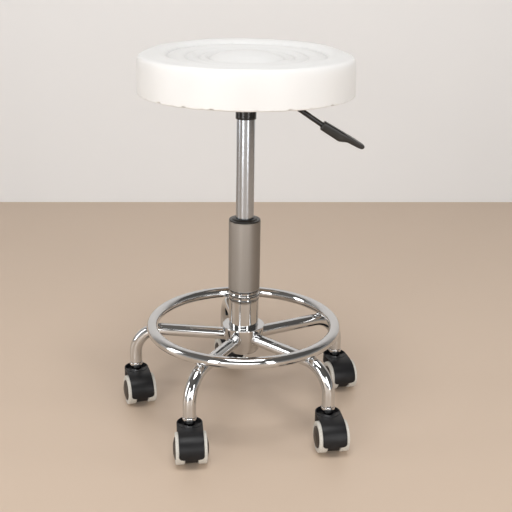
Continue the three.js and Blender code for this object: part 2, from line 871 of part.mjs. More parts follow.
function leverRod() {
  const { knee, down, elbow, gripDirection } = leverCorners();
  const level = new THREE.Vector3(1, 0, 0);
  const kneeIn = knee.clone().addScaledVector(level, -leverKneeBlend);
  const kneeOut = knee.clone().addScaledVector(down, leverKneeBlend);
  const elbowIn = elbow.clone().addScaledVector(down, -leverElbowBlend);
  const elbowOut = elbow.clone().addScaledVector(gripDirection, leverElbowBlend);
  const path = new THREE.CurvePath();
  path.add(new THREE.LineCurve3(new THREE.Vector3(-leverInner, 0, leverZ), kneeIn));
  path.add(new THREE.QuadraticBezierCurve3(kneeIn, knee, kneeOut));
  path.add(new THREE.LineCurve3(kneeOut, elbowIn));
  path.add(new THREE.QuadraticBezierCurve3(elbowIn, elbow, elbowOut));
  path.add(
    new THREE.LineCurve3(elbowOut, elbow.clone().addScaledVector(gripDirection, leverInGrip)),
  );
  const rod = sweep(path, leverRadius, boreSides, leverSteps);
  const sleeveHalf = leverSlotWidth / 2 - seatGap;
  const sleeveRadius = pivotRadius + runningGap + pivotSleeve;
  const across = (radius, half) =>
    bar(radius, -half, half, pinSegments).rotateX(Math.PI / 2).translate(pivotReach, 0, leverZ);
  const body = joined(rod, across(sleeveRadius, sleeveHalf));
  return geometryOf(cut(body, across(pivotRadius + runningGap, sleeveHalf + overrun)));
}

// A surface through rings of points, closed by a flat fan at each end.
function loft(rings) {
  const count = rings[0].length;
  const positions = rings.flat().flatMap((point) => [point.x, point.y, point.z]);
  const faces = [];
  for (let ring = 0; ring + 1 < rings.length; ring += 1) {
    for (let i = 0; i < count; i += 1) {
      const next = (i + 1) % count;
      const here = ring * count;
      const there = here + count;
      faces.push(here + i, here + next, there + next);
      faces.push(here + i, there + next, there + i);
    }
  }
  const last = (rings.length - 1) * count;
  for (let i = 1; i + 1 < count; i += 1) {
    faces.push(0, i + 1, i);
    faces.push(last, last + i, last + i + 1);
  }
  const geometry = new THREE.BufferGeometry();
  geometry.setAttribute("position", new THREE.Float32BufferAttribute(positions, 3));
  geometry.setIndex(faces);
  geometry.computeVertexNormals();
  return geometry;
}

// The grip: a round barrel and a flatter, wider paddle with a rounded tip. Their tops are in line,
// so the step between them is on the underside.
function leverGrip() {
  const { elbow, gripDirection } = leverCorners();
  const thicknessAxis = new THREE.Vector3(-gripDirection.z, 0, gripDirection.x);
  const widthAxis = new THREE.Vector3(0, -1, 0);
  const paddleRise = (gripBarrel - gripPaddleThickness) / 2;
  const stations = [
    ...gripCollarShares.map((share, i) => [share, 0, gripCollar * (i === 0 ? gripMouthShare : 1)]),
    ...gripBarrelShares.map((share) => [share, 0, gripBarrel]),
    ...gripPaddleShares.map((share) => [share, paddleRise, gripPaddleThickness, gripPaddleWidth]),
    ...gripTipShares.map((share, i) => [
      share,
      paddleRise,
      gripPaddleThickness * gripTipSizeShares[i],
      gripPaddleWidth * gripTipSizeShares[i],
    ]),
  ];
  const rings = stations.map(([share, rise, thickness, width = thickness]) => {
    const centre = elbow
      .clone()
      .addScaledVector(gripDirection, share * gripLength)
      .addScaledVector(thicknessAxis, rise);
    return Array.from({ length: tubeSides }, (unused, i) => {
      const angle = (2 * Math.PI * i) / tubeSides;
      return centre
        .clone()
        .addScaledVector(thicknessAxis, (thickness / 2) * Math.cos(angle))
        .addScaledVector(widthAxis, (width / 2) * Math.sin(angle));
    });
  });
  const rodSpace = sweep(
    new THREE.LineCurve3(
      elbow.clone().addScaledVector(gripDirection, -overrun),
      elbow.clone().addScaledVector(gripDirection, leverInGrip + seatGap),
    ),
    leverRadius + seatGap,
    boreSides,
    1,
  );
  return geometryOf(cut(solidOf(loft(rings)), rodSpace));
}

function leverPivot() {
  const half = leverSlotWidth / 2 + cheekThickness;
  const outline = [
    [0, -half - seatGap - pivotHead],
    [pivotRadius + pivotHead, -half - seatGap - pivotHead],
    [pivotRadius + pivotHead, -half - seatGap],
    [pivotRadius, -half - seatGap],
    [pivotRadius, half + pivotHead],
    [0, half + pivotHead],
  ];
  return revolve(outline, pinSegments)
    .rotateX(-Math.PI / 2)
    .translate(pivotReach, 0, leverZ);
}

function seatBoard() {
  const board = revolve(
    [
      [0, boardBottomZ],
      [boardBareRadius, boardBottomZ],
      [boardRadius - boardEdge, boardBottomZ],
      [boardRadius, boardBottomZ + boardEdge],
      [boardRadius, boardTopZ],
      [0, boardTopZ],
    ],
    seatSegments,
  );
  const holes = screwPlaces().map(([x, y]) =>
    bar(
      screwRadius + seatGap,
      boardBottomZ - overrun,
      boardBottomZ + screwInBoard + seatGap,
      pinSegments,
    ).translate(x, y, 0),
  );
  return geometryOf(cut(solidOf(board), ...holes));
}

function plateScrew() {
  const headTopZ = plateBottomZ - seatGap;
  const outline = [
    [0, headTopZ - screwHeadHeight],
    [screwHeadRadius, headTopZ - screwHeadHeight],
    [screwHeadRadius, headTopZ],
    [screwRadius, headTopZ],
    [screwRadius, boardBottomZ + screwInBoard],
    [0, boardBottomZ + screwInBoard],
  ];
  return revolve(outline, pinSegments);
}

// The cushion: drawn-in side, crowned rim, a sewn circle with gathers, and a low domed middle.
function seatCushion() {
  const footRadius = cushionRadius - sideTuck;
  const crownZ = boardBottomZ + cushionHeight;
  const channelZ = crownZ - channelDepth;
  const domeRise = channelDepth - domeDrop;
  const table = (first, second) => first.map((share, i) => [share, second[i]]);
  const recess = boardRadius + seatGap;
  const outline = [
    [0, boardTopZ + seatGap],
    [recess, boardTopZ + seatGap],
    [recess, boardBottomZ],
    ...table(sideOutShares, sideUpShares).map(([out, up]) => [
      footRadius + sideTuck * out,
      boardBottomZ + cushionHeight * up,
    ]),
    ...table(shoulderInShares, shoulderUpShares).map(([inward, up]) => [
      cushionRadius - (cushionRadius - cushionCrownRadius) * inward,
      boardBottomZ + cushionHeight * up,
    ]),
    ...table(flankInShares, flankDownShares).map(([inward, down]) => [
      cushionCrownRadius - (cushionCrownRadius - channelRadius) * inward,
      crownZ - channelDepth * down,
    ]),
    ...table(domeInShares, domeUpShares).map(([inward, up]) => [
      channelRadius * (1 - inward),
      channelZ + domeRise * up,
    ]),
  ];
  const geometry = revolve(outline, seatSegments);
  const points = geometry.getAttribute("position");
  for (let i = 0; i < points.count; i += 1) {
    const radius = Math.hypot(points.getX(i), points.getY(i));
    const offset = Math.abs(radius - channelRadius);
    const isTop = points.getZ(i) > (boardTopZ + channelZ) / 2;
    if (isTop && offset < gatherReach) {
      const fade = Math.cos((Math.PI / 2) * (offset / gatherReach));
      const angle = Math.atan2(points.getY(i), points.getX(i));
      const press = (1 - Math.cos(gatherCount * (angle + Math.PI / 2))) / 2;
      points.setZ(i, points.getZ(i) - gatherDepth * fade * press);
    }
  }
  geometry.computeVertexNormals();
  return geometry;
}

function addSeat() {
  place(stool, "seat_mechanism", seatMechanism(), blackPaint);
  place(stool, "lever_rod", leverRod(), blackPaint);
  place(stool, "lever_grip", leverGrip(), blackPlastic);
  place(stool, "lever_pivot", leverPivot(), plainSteel);
  place(stool, "seat_board", seatBoard(), plywood);
  place(stool, "seat_cushion", seatCushion(), whiteVinyl);
  screwPlaces().forEach(([x, y], i) => {
    const screw = place(stool, `plate_screw_${i + 1}`, plateScrew(), plainSteel);
    screw.position.set(x, y, 0);
  });
}

addBase();
addGasSpring();
addSeat();

const bounds = new THREE.Box3().setFromObject(stool, true);
const middle = bounds.getCenter(new THREE.Vector3());
stool.position.set(-middle.x, -middle.y, -bounds.min.z);

export default stool;
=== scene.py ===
"""Looks of a gas-lift work stool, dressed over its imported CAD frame.

Lengths are metres. +Z is up, the origin is on the floor under the middle of the object's box,
and the height lever points along +X. Each sub-assembly is a class: its fields are the real
sizes, and its methods build the surfaces and give them their finishes.
"""

import logging
import math
from dataclasses import dataclass, field
from enum import Enum
from typing import Callable, Iterable, Optional, Sequence, Union

import bpy
import numpy as np
from mathutils import Matrix, Vector


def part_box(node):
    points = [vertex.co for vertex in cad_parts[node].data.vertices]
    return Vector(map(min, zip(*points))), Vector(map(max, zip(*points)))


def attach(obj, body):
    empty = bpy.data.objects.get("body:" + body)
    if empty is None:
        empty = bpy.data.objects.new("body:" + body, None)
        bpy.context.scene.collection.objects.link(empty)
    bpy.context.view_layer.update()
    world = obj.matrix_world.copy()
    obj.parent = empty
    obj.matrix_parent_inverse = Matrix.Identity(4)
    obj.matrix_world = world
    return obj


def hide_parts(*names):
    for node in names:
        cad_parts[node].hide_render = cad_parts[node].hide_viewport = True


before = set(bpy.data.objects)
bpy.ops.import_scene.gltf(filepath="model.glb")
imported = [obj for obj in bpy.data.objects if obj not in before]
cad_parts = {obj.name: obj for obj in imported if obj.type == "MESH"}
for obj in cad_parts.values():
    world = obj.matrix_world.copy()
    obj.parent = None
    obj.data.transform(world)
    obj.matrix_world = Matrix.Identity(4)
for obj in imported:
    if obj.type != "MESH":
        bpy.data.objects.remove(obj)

LOG = logging.getLogger("stool")
TINY = 1e-12
EDGE = 0.0003  # radius of an edge that is only just broken
Array = np.ndarray
Object = bpy.types.Object
Rows = Iterable[Sequence[float]]
Colour = tuple[float, float, float]
Link = Union["Signal", float, Sequence[float]]


# ---------------------------------------------------------------- surfaces
class End(Enum):
    """How a grid of points closes at the first or last row."""

    OPEN = "open"
    POLE = "pole"
    JOIN = "join"


def circle(count: int) -> Array:
    """Angles in radians of `count` evenly spaced points round a circle, from 0."""
    return np.linspace(0.0, 2 * np.pi, count, endpoint=False)


def unit(vectors: Array) -> Array:
    """The vectors of the last axis at length 1."""
    return vectors / np.maximum(np.linalg.norm(vectors, axis=-1, keepdims=True), TINY)


def rounded(outline: Rows, steps: int = 5, closed: bool = False) -> Array:
    """A polyline whose corners are rounded off.

    At each corner the curve is (1-t)^2 A + 2t(1-t) C + t^2 B, where C is the corner and A and B
    lie on its two legs at the tangent length, radius / tan(half the corner's angle), or at
    nearly half the leg where that is shorter.

    Args:
        outline: (x, y, radius) of each corner; a sharp one can leave the radius out.
        steps: points per rounded corner, less one.
        closed: whether the last corner joins the first.

    Returns:
        (m, 2) points, with no two alike next to each other.
    """
    straight, nearly_half, alike = 0.9999, 0.49, 1e-7
    rows = np.array([(*row, 0.0)[:3] for row in outline], float)
    corner, radius = rows[:, :2], rows[:, 2]
    before, after = np.roll(corner, 1, 0), np.roll(corner, -1, 0)
    if not closed:
        before[0], after[-1] = corner[0], corner[-1]
        radius[[0, -1]] = 0.0
    back, ahead = before - corner, after - corner
    shorter = np.minimum(*(np.linalg.norm(leg, axis=1) for leg in (back, ahead)))
    back, ahead = unit(back), unit(ahead)
    cosine = np.clip((back * ahead).sum(1), -1.0, straight)
    tangent = radius * np.sqrt((1 + cosine) / (1 - cosine))
    tangent = np.minimum(tangent, nearly_half * np.maximum(shorter, TINY))[:, None]
    first, last = corner + back * tangent, corner + ahead * tangent
    t = np.linspace(0.0, 1.0, steps + 1)[None, :, None]
    curve = (1 - t) ** 2 * first[:, None] + 2 * t * (1 - t) * corner[:, None] + t**2 * last[:, None]
    points = curve.reshape(-1, 2)
    keep = np.linalg.norm(points - np.roll(points, 1, 0), axis=1) > alike
    keep[0] |= not closed
    return points[keep]


def densify(points: Array, longest: float) -> Array:
    """The same polyline with each leg split evenly, so that none is longer than a length."""
    legs = np.linalg.norm(np.diff(points, axis=0), axis=1)
    pieces = np.maximum(np.ceil(legs / longest).astype(int), 1)
    leg = np.repeat(np.arange(len(pieces)), pieces)
    share = (np.arange(len(leg)) - np.repeat(np.cumsum(pieces) - pieces, pieces)) / pieces[leg]
    inner = points[leg] + (points[leg + 1] - points[leg]) * share[:, None]
    return np.vstack([inner, points[-1:]])


def turned(profile: Array, segments: int) -> Array:
    """A (n, 2) profile of (radius, height) turned about Z: (r cos a, r sin a, h).

    Args:
        profile: points from the bottom up along the outside.
        segments: points round the axis.

    Returns:
        (n, segments, 3) grid.
    """
    angle, (radius, height) = circle(segments)[None, :], profile.T[..., None]
    return np.stack([radius * np.cos(angle), radius * np.sin(angle), height + 0 * angle], -1)


def carried(path: Array, side: Array, section: Array) -> Array:
    """A section carried along a path in a plane.

    Each section point (p, q) goes to centre + p * normal + q * side, where side is the plane's
    normal and normal is side x tangent.

    Args:
        path: (n, 3) centres.
        side: (3,) unit normal of the path's plane.
        section: (m, 2) points, anticlockwise looking back along the path.

    Returns:
        (n, m, 3) grid.
    """
    normal = np.cross(side[None, :], unit(np.gradient(path, axis=0)))
    return path[:, None] + section[:, :1] * normal[:, None] + section[:, 1:] * side


def round_section(radius: float, count: int) -> Array:
    """A circle of points for carried(): radius * (cos a, sin a)."""
    angle = circle(count)
    return radius * np.stack([np.cos(angle), np.sin(angle)], -1)


def arc(centre: Sequence[float], radius: float, start: float, end: float, count: int) -> Array:
    """Points on an arc between two angles in degrees: centre + radius (cos a, sin a)."""
    angle = np.radians(np.linspace(start, end, count))
    return np.stack([centre[0] + radius * np.cos(angle), centre[1] + radius * np.sin(angle)], -1)


def smoothstep(value: Array, low: float, high: float) -> Array:
    """3t^2 - 2t^3 of t, the value's share of the way from low to high, kept within 0 and 1."""
    t = np.clip((value - low) / (high - low), 0.0, 1.0)
    return t * t * (3 - 2 * t)


def slab(outline: Array, low: float, high: float, edge: float, axes: tuple[int, int, int],
         steps: int = 4) -> Array:
    """A closed outline given a thickness, its two rims rounded over.

    At t from a rim the outline is drawn in by edge - sqrt(edge^2 - (edge - t)^2), along its own
    inward normal.

    Args:
        outline: (n, 2) points, anticlockwise in the plane of the first two axes.
        low: where the thickness starts on the third axis.
        high: where it ends.
        edge: radius of the rounded rims.
        axes: which coordinate each of the outline's two numbers and the thickness is.
        steps: facets of each rim.

    Returns:
        (rows, n, 3) grid.
    """
    tangent = unit(np.roll(outline, -1, 0) - np.roll(outline, 1, 0))
    inward = np.stack([-tangent[:, 1], tangent[:, 0]], -1)
    depth = edge * (1 - np.cos(np.linspace(0.0, np.pi / 2, steps + 1)))
    inset = edge - np.sqrt(np.maximum(edge**2 - (edge - depth) ** 2, 0.0))
    through = np.concatenate([low + depth, (high - depth)[::-1]])
    flat = outline[None] + inward[None] * np.concatenate([inset, inset[::-1]])[:, None, None]
    grid = np.empty(flat.shape[:2] + (3,))
    grid[..., axes[0]], grid[..., axes[1]] = flat[..., 0], flat[..., 1]
    grid[..., axes[2]] = through[:, None]
    return grid


@dataclass(frozen=True)
class Pose:
    """A turn about Z, then a move: the place of a sub-assembly in the object's frame."""

    angle: float = 0.0
    move: Sequence[float] = (0.0, 0.0, 0.0)

    def __call__(self, points: Array) -> Array:
        """The points turned and moved."""
        c, s = math.cos(self.angle), math.sin(self.angle)
        spin = np.array([[c, s, 0.0], [-s, c, 0.0], [0.0, 0.0, 1.0]])
        return points @ spin + np.asarray(self.move)


@dataclass
class Skin:
    """Grids of points gathered into one mesh object."""

    pose: Pose = Pose()
    points: list[Array] = field(default_factory=list)
    quads: list[Array] = field(default_factory=list)
    fans: list[Array] = field(default_factory=list)
    count: int = 0

    def _store(self, points: Array) -> int:
        """Adds points and returns the index of the first."""
        flat, first = self.pose(points.reshape(-1, 3)), self.count
        self.points.append(flat)
        self.count += len(flat)
        return first

    def grid(self, points: Array, start: End = End.POLE, end: End = End.POLE,
             keep: Optional[Array] = None) -> "Skin":
        """Adds a grid, whose rows run round the piece, and closes its ends.

        Args:
            points: (rows, columns, 3) grid; a row runs anticlockwise seen against the column.
            start: how the first row closes; JOIN ties it to the last row.
            end: how the last row closes.
            keep: (rows - 1, columns) table of the faces to keep, or all if left out.

        Returns:
            The skin, so that calls can be chained.
        """
        rows, columns = points.shape[:2]
        index = self._store(points) + np.arange(rows * columns).reshape(rows, columns)
        upper = np.roll(index, -1, 0)[: rows if start is End.JOIN else rows - 1]
        lower = index[: len(upper)]
        corners = [lower, np.roll(lower, -1, 1), np.roll(upper, -1, 1), upper]
        faces = np.stack(corners, -1).reshape(-1, 4)
        self.quads.append(faces if keep is None else faces[keep.ravel()])
        for closing, row, shifts in ((start, 0, (-1, 0)), (end, -1, (0, -1))):
            if closing is End.POLE:
                pole = self._store(points[row].mean(0)[None])
                rim = [np.roll(index[row], shift) for shift in shifts]
                self.fans.append(np.stack([np.full(columns, pole), *rim], -1))
        return self

    def lathe(self, outline: Rows, segments: int, closed: bool = False, steps: int = 5,
              place: Callable[[Array], Array] = lambda points: points) -> "Skin":
        """Adds a turned piece with rounded edges.

        Args:
            outline: (radius, height, edge radius) corners, bottom first along the outside; a
                sharp edge can leave its radius out.
            segments: points round the axis.
            closed: whether the outline closes on itself, as a ring's does.
            steps: facets of each rounded edge.
            place: lays the turned points where they belong.

        Returns:
            The skin.
        """
        ends = End.JOIN if closed else End.POLE
        return self.grid(place(turned(rounded(outline, steps, closed), segments)), ends, ends)

    def build(self, name: str, sharp_degrees: float = 35.0) -> Object:
        """Makes the mesh object, smooth but for edges sharper than an angle.

        Args:
            name: the object's name.
            sharp_degrees: the least angle between faces that shows as an edge.

        Returns:
            The new object.
        """
        faces = [face for block in self.quads + self.fans for face in block.tolist()]
        mesh = bpy.data.meshes.new(name)
        mesh.from_pydata(np.vstack(self.points).tolist(), [], faces)
        mesh.validate(clean_customdata=False)
        mesh.shade_smooth()
        mesh.set_sharp_from_angle(angle=math.radians(sharp_degrees))
        return linked(bpy.data.objects.new(name, mesh))


def linked(thing: Object) -> Object:
    """Puts a new object into the scene."""
    bpy.context.scene.collection.objects.link(thing)
    return thing


def points_of(piece: Object) -> Array:
    """The mesh's points as an (n, 3) array."""
    flat = np.empty(len(piece.data.vertices) * 3)
    piece.data.vertices.foreach_get("co", flat)
    return flat.reshape(-1, 3)


def paint(piece: Object, name: str, values: Array) -> None:
    """Stores one number per point of the mesh under a name."""
    layer = piece.data.attributes.new(name, "FLOAT", "POINT")
    layer.data.foreach_set("value", np.clip(values, 0.0, 1.0).astype(np.float32))


# ---------------------------------------------------------------- shader nodes
def math_node(operation: str) -> Callable[["Signal", Link], "Signal"]:
    """An operator of Signal that makes a Math node of that operation."""
    def method(self: "Signal", other: Link) -> "Signal":
        """The node's result for the two values."""
        return self.nodes.node("ShaderNodeMath", {"operation": operation}, {0: self, 1: other})
    return method


class Signal:
    """A node's output socket that takes part in Python sums."""

    def __init__(self, nodes: "Nodes", socket: bpy.types.NodeSocket) -> None:
        """Wraps a socket of one of the nodes."""
        self.nodes, self.socket = nodes, socket

    __add__ = __radd__ = math_node("ADD")
    __mul__ = __rmul__ = math_node("MULTIPLY")
    __pow__ = math_node("POWER")

    def between(self, low: float, high: float) -> "Signal":
        """0 below low, 1 above high, smooth between; low may be the larger."""
        return self.nodes.node("ShaderNodeMapRange", {"interpolation_type": "SMOOTHSTEP"},
                               {"Value": self, "From Min": low, "From Max": high})


class Nodes:
    """A node tree that is wired by signals."""

    def __init__(self, tree: bpy.types.NodeTree) -> None:
        """Wraps the tree of a material or world."""
        self.tree = tree

    def node(self, kind: str, settings: dict, inputs: dict, output: Union[int, str] = 0) -> Signal:
        """Adds one node.

        Args:
            kind: the node's type.
            settings: its properties, set first.
            inputs: values or signals for its sockets, by name or number.
            output: which output to return.

        Returns:
            The output as a signal.
        """
        made = self.tree.nodes.new(kind)
        for key, value in settings.items():
            setattr(made, key, value)
        for key, value in inputs.items():
            self.feed(made.inputs[key], value)
        return Signal(self, made.outputs[output])

    def feed(self, socket: bpy.types.NodeSocket, value: Link) -> None:
        """Links a signal to a socket, or sets the socket's own value."""
        if isinstance(value, Signal):
            self.tree.links.new(value.socket, socket)
        elif socket.type == "RGBA" and len(value) == 3:
            socket.default_value = (*value, 1.0)
        else:
            socket.default_value = value


class Shader(Nodes):
    """One material's nodes, on Object coordinates in metres."""

    def __init__(self, name: str) -> None:
        """Starts an empty material with one Principled shader."""
        self.material = bpy.data.materials.new(name)
        self.material.use_nodes = True
        super().__init__(self.material.node_tree)
        self.tree.nodes.clear()
        self.surface = self.tree.nodes.new("ShaderNodeBsdfPrincipled")
        output = self.tree.nodes.new("ShaderNodeOutputMaterial")
        self.tree.links.new(self.surface.outputs["BSDF"], output.inputs["Surface"])

    def set(self, **values: Link) -> None:
        """Feeds sockets of the Principled shader; underscores in a name stand for spaces."""
        for key, value in values.items():
            self.feed(self.surface.inputs[key.replace("_", " ")], value)

    def place(self, stretch: Sequence[float] = (1.0, 1.0, 1.0)) -> Signal:
        """Object coordinates, scaled."""
        source = self.node("ShaderNodeTexCoord", {}, {}, "Object")
        return self.node("ShaderNodeMapping", {}, {"Vector": source, "Scale": stretch})

    def height(self) -> Signal:
        """The Z of Object coordinates."""
        return self.node("ShaderNodeSeparateXYZ", {}, {"Vector": self.place()}, "Z")

    def noise(self, scale: float, detail: float = 3.0,
              stretch: Sequence[float] = (1.0, 1.0, 1.0)) -> Signal:
        """Noise from 0 to 1, with about `scale` grains a metre."""
        return self.node("ShaderNodeTexNoise", {"noise_dimensions": "3D"},
                         {"Vector": self.place(stretch), "Scale": scale, "Detail": detail})

    def cells(self, scale: float, feature: str = "F1") -> Signal:
        """Distance in a field of random cells, with about `scale` cells a metre."""
        return self.node("ShaderNodeTexVoronoi", {"feature": feature},
                         {"Vector": self.place(), "Scale": scale}, "Distance")

    def attribute(self, name: str) -> Signal:
        """A number stored on the mesh's points."""
        return self.node("ShaderNodeAttribute", {"attribute_name": name}, {}, "Fac")

    def mix(self, share: Link, first: Link, second: Link) -> Signal:
        """A colour between two, by a share from 0 to 1."""
        return self.node("ShaderNodeMix", {"data_type": "RGBA"}, {0: share, 6: first, 7: second}, 2)

    def relief(self, height: Signal, depth: float, under: Optional[Signal] = None) -> Signal:
        """A Bump node: height from 0 to 1 becomes a relief of that depth in metres."""
        inputs = {"Height": height, "Distance": depth, "Strength": 1.0}
        return self.node("ShaderNodeBump", {}, inputs if under is None else
                         inputs | {"Normal": under})


# ---------------------------------------------------------------- finishes
@dataclass(frozen=True)
class Coating:
    """A finish: its name, which is its slot in the record, and its main colour."""

    name: str
    colour: Colour

    def shade(self, s: Shader) -> None:
        """Wires the material's nodes."""
        raise NotImplementedError

    def make(self) -> bpy.types.Material:
        """Builds the material."""
        shader = Shader(self.name)
        self.shade(shader)
        return shader.material


@dataclass(frozen=True)
class Chrome(Coating):
    """Bright plated tube: a mirror with a slight waviness and a few faint rubs."""

    name: str = "polished_chrome"
    colour: Colour = (0.64, 0.645, 0.65)
    rubbed: Colour = (0.56, 0.56, 0.56)
    roughness: float = 0.06

    def shade(self, s: Shader) -> None:
        """Wires the material's nodes."""
        haze = s.noise(34.0, 4.0).between(0.52, 0.78)
        rubs = s.noise(900.0, 2.0, (1.0, 1.0, 0.12)).between(0.62, 0.72) * haze
        s.set(Base_Color=s.mix(rubs * 0.5 + haze * 0.2, self.colour, self.rubbed),
              Metallic=1.0, Roughness=haze * 0.07 + rubs * 0.14 + self.roughness)
        wave = s.relief(s.noise(46.0, 1.0), 0.0004)
        s.set(Normal=s.relief(s.noise(2600.0, 1.0), 0.0000025, wave))


@dataclass(frozen=True)
class StandTubeSteel(Coating):
    """The stand tube: satin above its rolled grooves, mirror-bright below them, with painted shade
    in the grooves.
    """

    name: str = "satin_nickel"
    colour: Colour = (0.37, 0.344, 0.315)
    streaked: Colour = (0.335, 0.31, 0.283)
    bright: Colour = (0.53, 0.53, 0.525)
    # colour of the painted shade in the two rolled grooves
    groove_shade: Colour = (0.17, 0.19, 0.21)
    satin_from: float = 0.2050
    grooves: tuple[float, float] = (0.1890, 0.2035)
    roughness: float = 0.54

    def shade(self, s: Shader) -> None:
        """Wires the material's nodes."""
        satin = s.height().between(self.satin_from - 0.002, self.satin_from + 0.002)
        streaks = s.noise(420.0, 3.0, (1.0, 1.0, 0.02))
        blotch = s.noise(26.0, 3.0, (1.0, 1.0, 0.35))
        plain = s.mix(satin, self.bright, s.mix(blotch, self.streaked, self.colour))
        # Painted shade: the two rolled grooves are darkened towards a bluish grey.
        low, high = (s.height().between(at - 0.0022, at - 0.0006)
                     * (s.height().between(at + 0.0006, at + 0.0022) * -1.0 + 1.0)
                     for at in self.grooves)
        s.set(Base_Color=s.mix(low * 0.7 + high, plain, self.groove_shade), Metallic=1.0,
              Roughness=satin * (streaks * 0.12 + blotch * 0.06 + (self.roughness - 0.14)) + 0.07)
        s.set(Normal=s.relief(streaks * satin, 0.00003, s.relief(s.noise(30.0, 1.0), 0.0001)))


@dataclass(frozen=True)
class GroundSteel(Coating):
    """Fine-ground bright steel, its faint grinding lines running round the bar."""

    name: str = "satin_steel"
    colour: Colour = (0.45, 0.48, 0.515)
    clean: Colour = (0.47, 0.50, 0.545)
    roughness: float = 0.245

    def shade(self, s: Shader) -> None:
        """Wires the material's nodes."""
        rings = s.noise(300.0, 3.0, (0.05, 0.05, 9.0))
        film = s.noise(30.0, 3.0)
        s.set(Base_Color=s.mix(film, self.clean, self.colour), Metallic=1.0,
              Roughness=rings * 0.07 + film * 0.05 + (self.roughness - 0.05))
        s.set(Normal=s.relief(rings, 0.0000008))


@dataclass(frozen=True)
class PlatedSteel(Coating):
    """Zinc-plated small parts: grey, mottled and half matt."""

    name: str = "plain_steel"
    colour: Colour = (0.56, 0.57, 0.58)
    mottled: Colour = (0.42, 0.43, 0.45)

    def shade(self, s: Shader) -> None:
        """Wires the material's nodes."""
        mottle = s.cells(900.0)
        s.set(Base_Color=s.mix(mottle, self.colour, self.mottled), Metallic=1.0,
              Roughness=mottle * 0.15 + 0.3, Normal=s.relief(s.noise(3000.0, 2.0), 0.00001))


@dataclass(frozen=True)
class PowderCoat(Coating):
    """Black powder coat with its orange-peel skin."""

    name: str = "black_paint"
    colour: Colour = (0.011, 0.011, 0.012)
    dusty: Colour = (0.045, 0.043, 0.04)

    def shade(self, s: Shader) -> None:
        """Wires the material's nodes."""
        peel = s.cells(750.0, "SMOOTH_F1")
        dust = s.noise(60.0, 4.0).between(0.55, 0.85)
        s.set(Base_Color=s.mix(dust * 0.4, self.colour, self.dusty), IOR=1.5,
              Roughness=dust * 0.10 + peel * 0.06 + 0.16, Normal=s.relief(peel, 0.00006))


class Grain(Enum):
    """How coarse a moulded surface is: grains a metre and their depth in metres."""

    FINE = (2600.0, 0.000012)
    SATIN = (1700.0, 0.00002)
    COARSE = (1100.0, 0.00005)


@dataclass(frozen=True)
class MouldedPlastic(Coating):
    """Moulded plastic with a fine spark-eroded grain, paler where it is rubbed or dusty."""

    worn: Colour
    roughness: float
    grain: Grain
    ior: float = 1.48

    def shade(self, s: Shader) -> None:
        """Wires the material's nodes."""
        scale, depth = self.grain.value
        grain = s.noise(scale, 2.0)
        patches = s.noise(70.0, 4.0).between(0.5, 0.85)
        s.set(Base_Color=s.mix(patches * 0.6 + grain * 0.15, self.colour, self.worn),
              Roughness=patches * 0.1 + grain * 0.08 + (self.roughness - 0.04), IOR=self.ior,
              Normal=s.relief(grain, depth))


@dataclass(frozen=True)
class TyreUrethane(Coating):
    """Pale urethane tread, soiled where the mesh's "rolling" attribute is 1."""

    name: str = "tyre_grey"
    colour: Colour = (0.60, 0.58, 0.53)
    soiled: Colour = (0.40, 0.38, 0.34)

    def shade(self, s: Shader) -> None:
        """Wires the material's nodes."""
        dirt = s.noise(420.0, 4.0).between(0.42, 0.75) * s.attribute("rolling")
        grain = s.noise(1900.0, 2.0)
        s.set(Base_Color=s.mix(dirt * 0.55 + grain * 0.06, self.colour, self.soiled),
              Roughness=dirt * 0.2 + 0.5, IOR=1.45, Normal=s.relief(grain, 0.00003))


@dataclass(frozen=True)
class Plywood(Coating):
    """Birch plywood with long grain."""

    name: str = "plywood"
    colour: Colour = (0.56, 0.40, 0.23)
    dark: Colour = (0.36, 0.23, 0.12)

    def shade(self, s: Shader) -> None:
        """Wires the material's nodes."""
        warp = s.noise(9.0, 2.0, (1.0, 0.2, 1.0))
        grain = s.noise(220.0, 4.0, (1.0, 0.05, 1.0))
        figure = s.node("ShaderNodeMath", {"operation": "SINE"}, {0: warp * 90.0}) * 0.5 + 0.5
        s.set(Base_Color=s.mix(figure * 0.35 + grain * 0.6, self.colour, self.dark),
              Roughness=grain * 0.2 + 0.55, Normal=s.relief(grain, 0.00012))


@dataclass(frozen=True)
class SeatVinyl(Coating):
    """White upholstery vinyl: pebbled, and darkened by painted shade where the mesh's fold-shade
    attribute nears 1.
    """

    name: str = "white_vinyl"
    colour: Colour = (0.81, 0.808, 0.80)
    warm: Colour = (0.78, 0.77, 0.75)
    # colour of the painted shade in the cover's creases, gathers, hem notches and tucks
    fold_shade: Colour = (0.09, 0.088, 0.085)

    def shade(self, s: Shader) -> None:
        """Wires the material's nodes."""
        pebble, pores = s.cells(1150.0, "SMOOTH_F1"), s.noise(3800.0, 2.0)
        cloud, shade_in_folds = s.noise(11.0, 3.0).between(0.35, 0.8), s.attribute("fold_shade")
        base = s.mix(cloud * 0.5, self.colour, self.warm)
        # Painted shade: the cover's folds are darkened towards near black by the fold-shade
        # attribute.
        s.set(Base_Color=s.mix(shade_in_folds ** 1.3, base, self.fold_shade), IOR=1.46,
              Roughness=pebble * 0.16 + cloud * 0.05 + shade_in_folds * 0.1 + 0.36)
        s.set(Normal=s.relief(pebble, 0.00009, s.relief(pores, 0.000015)))


@dataclass(frozen=True)
class StudioPaint(Coating):
    """Plain matt paint of the floor or wall."""

    roughness: float

    def shade(self, s: Shader) -> None:
        """Wires the material's nodes."""
        s.set(Base_Color=self.colour, Roughness=self.roughness)


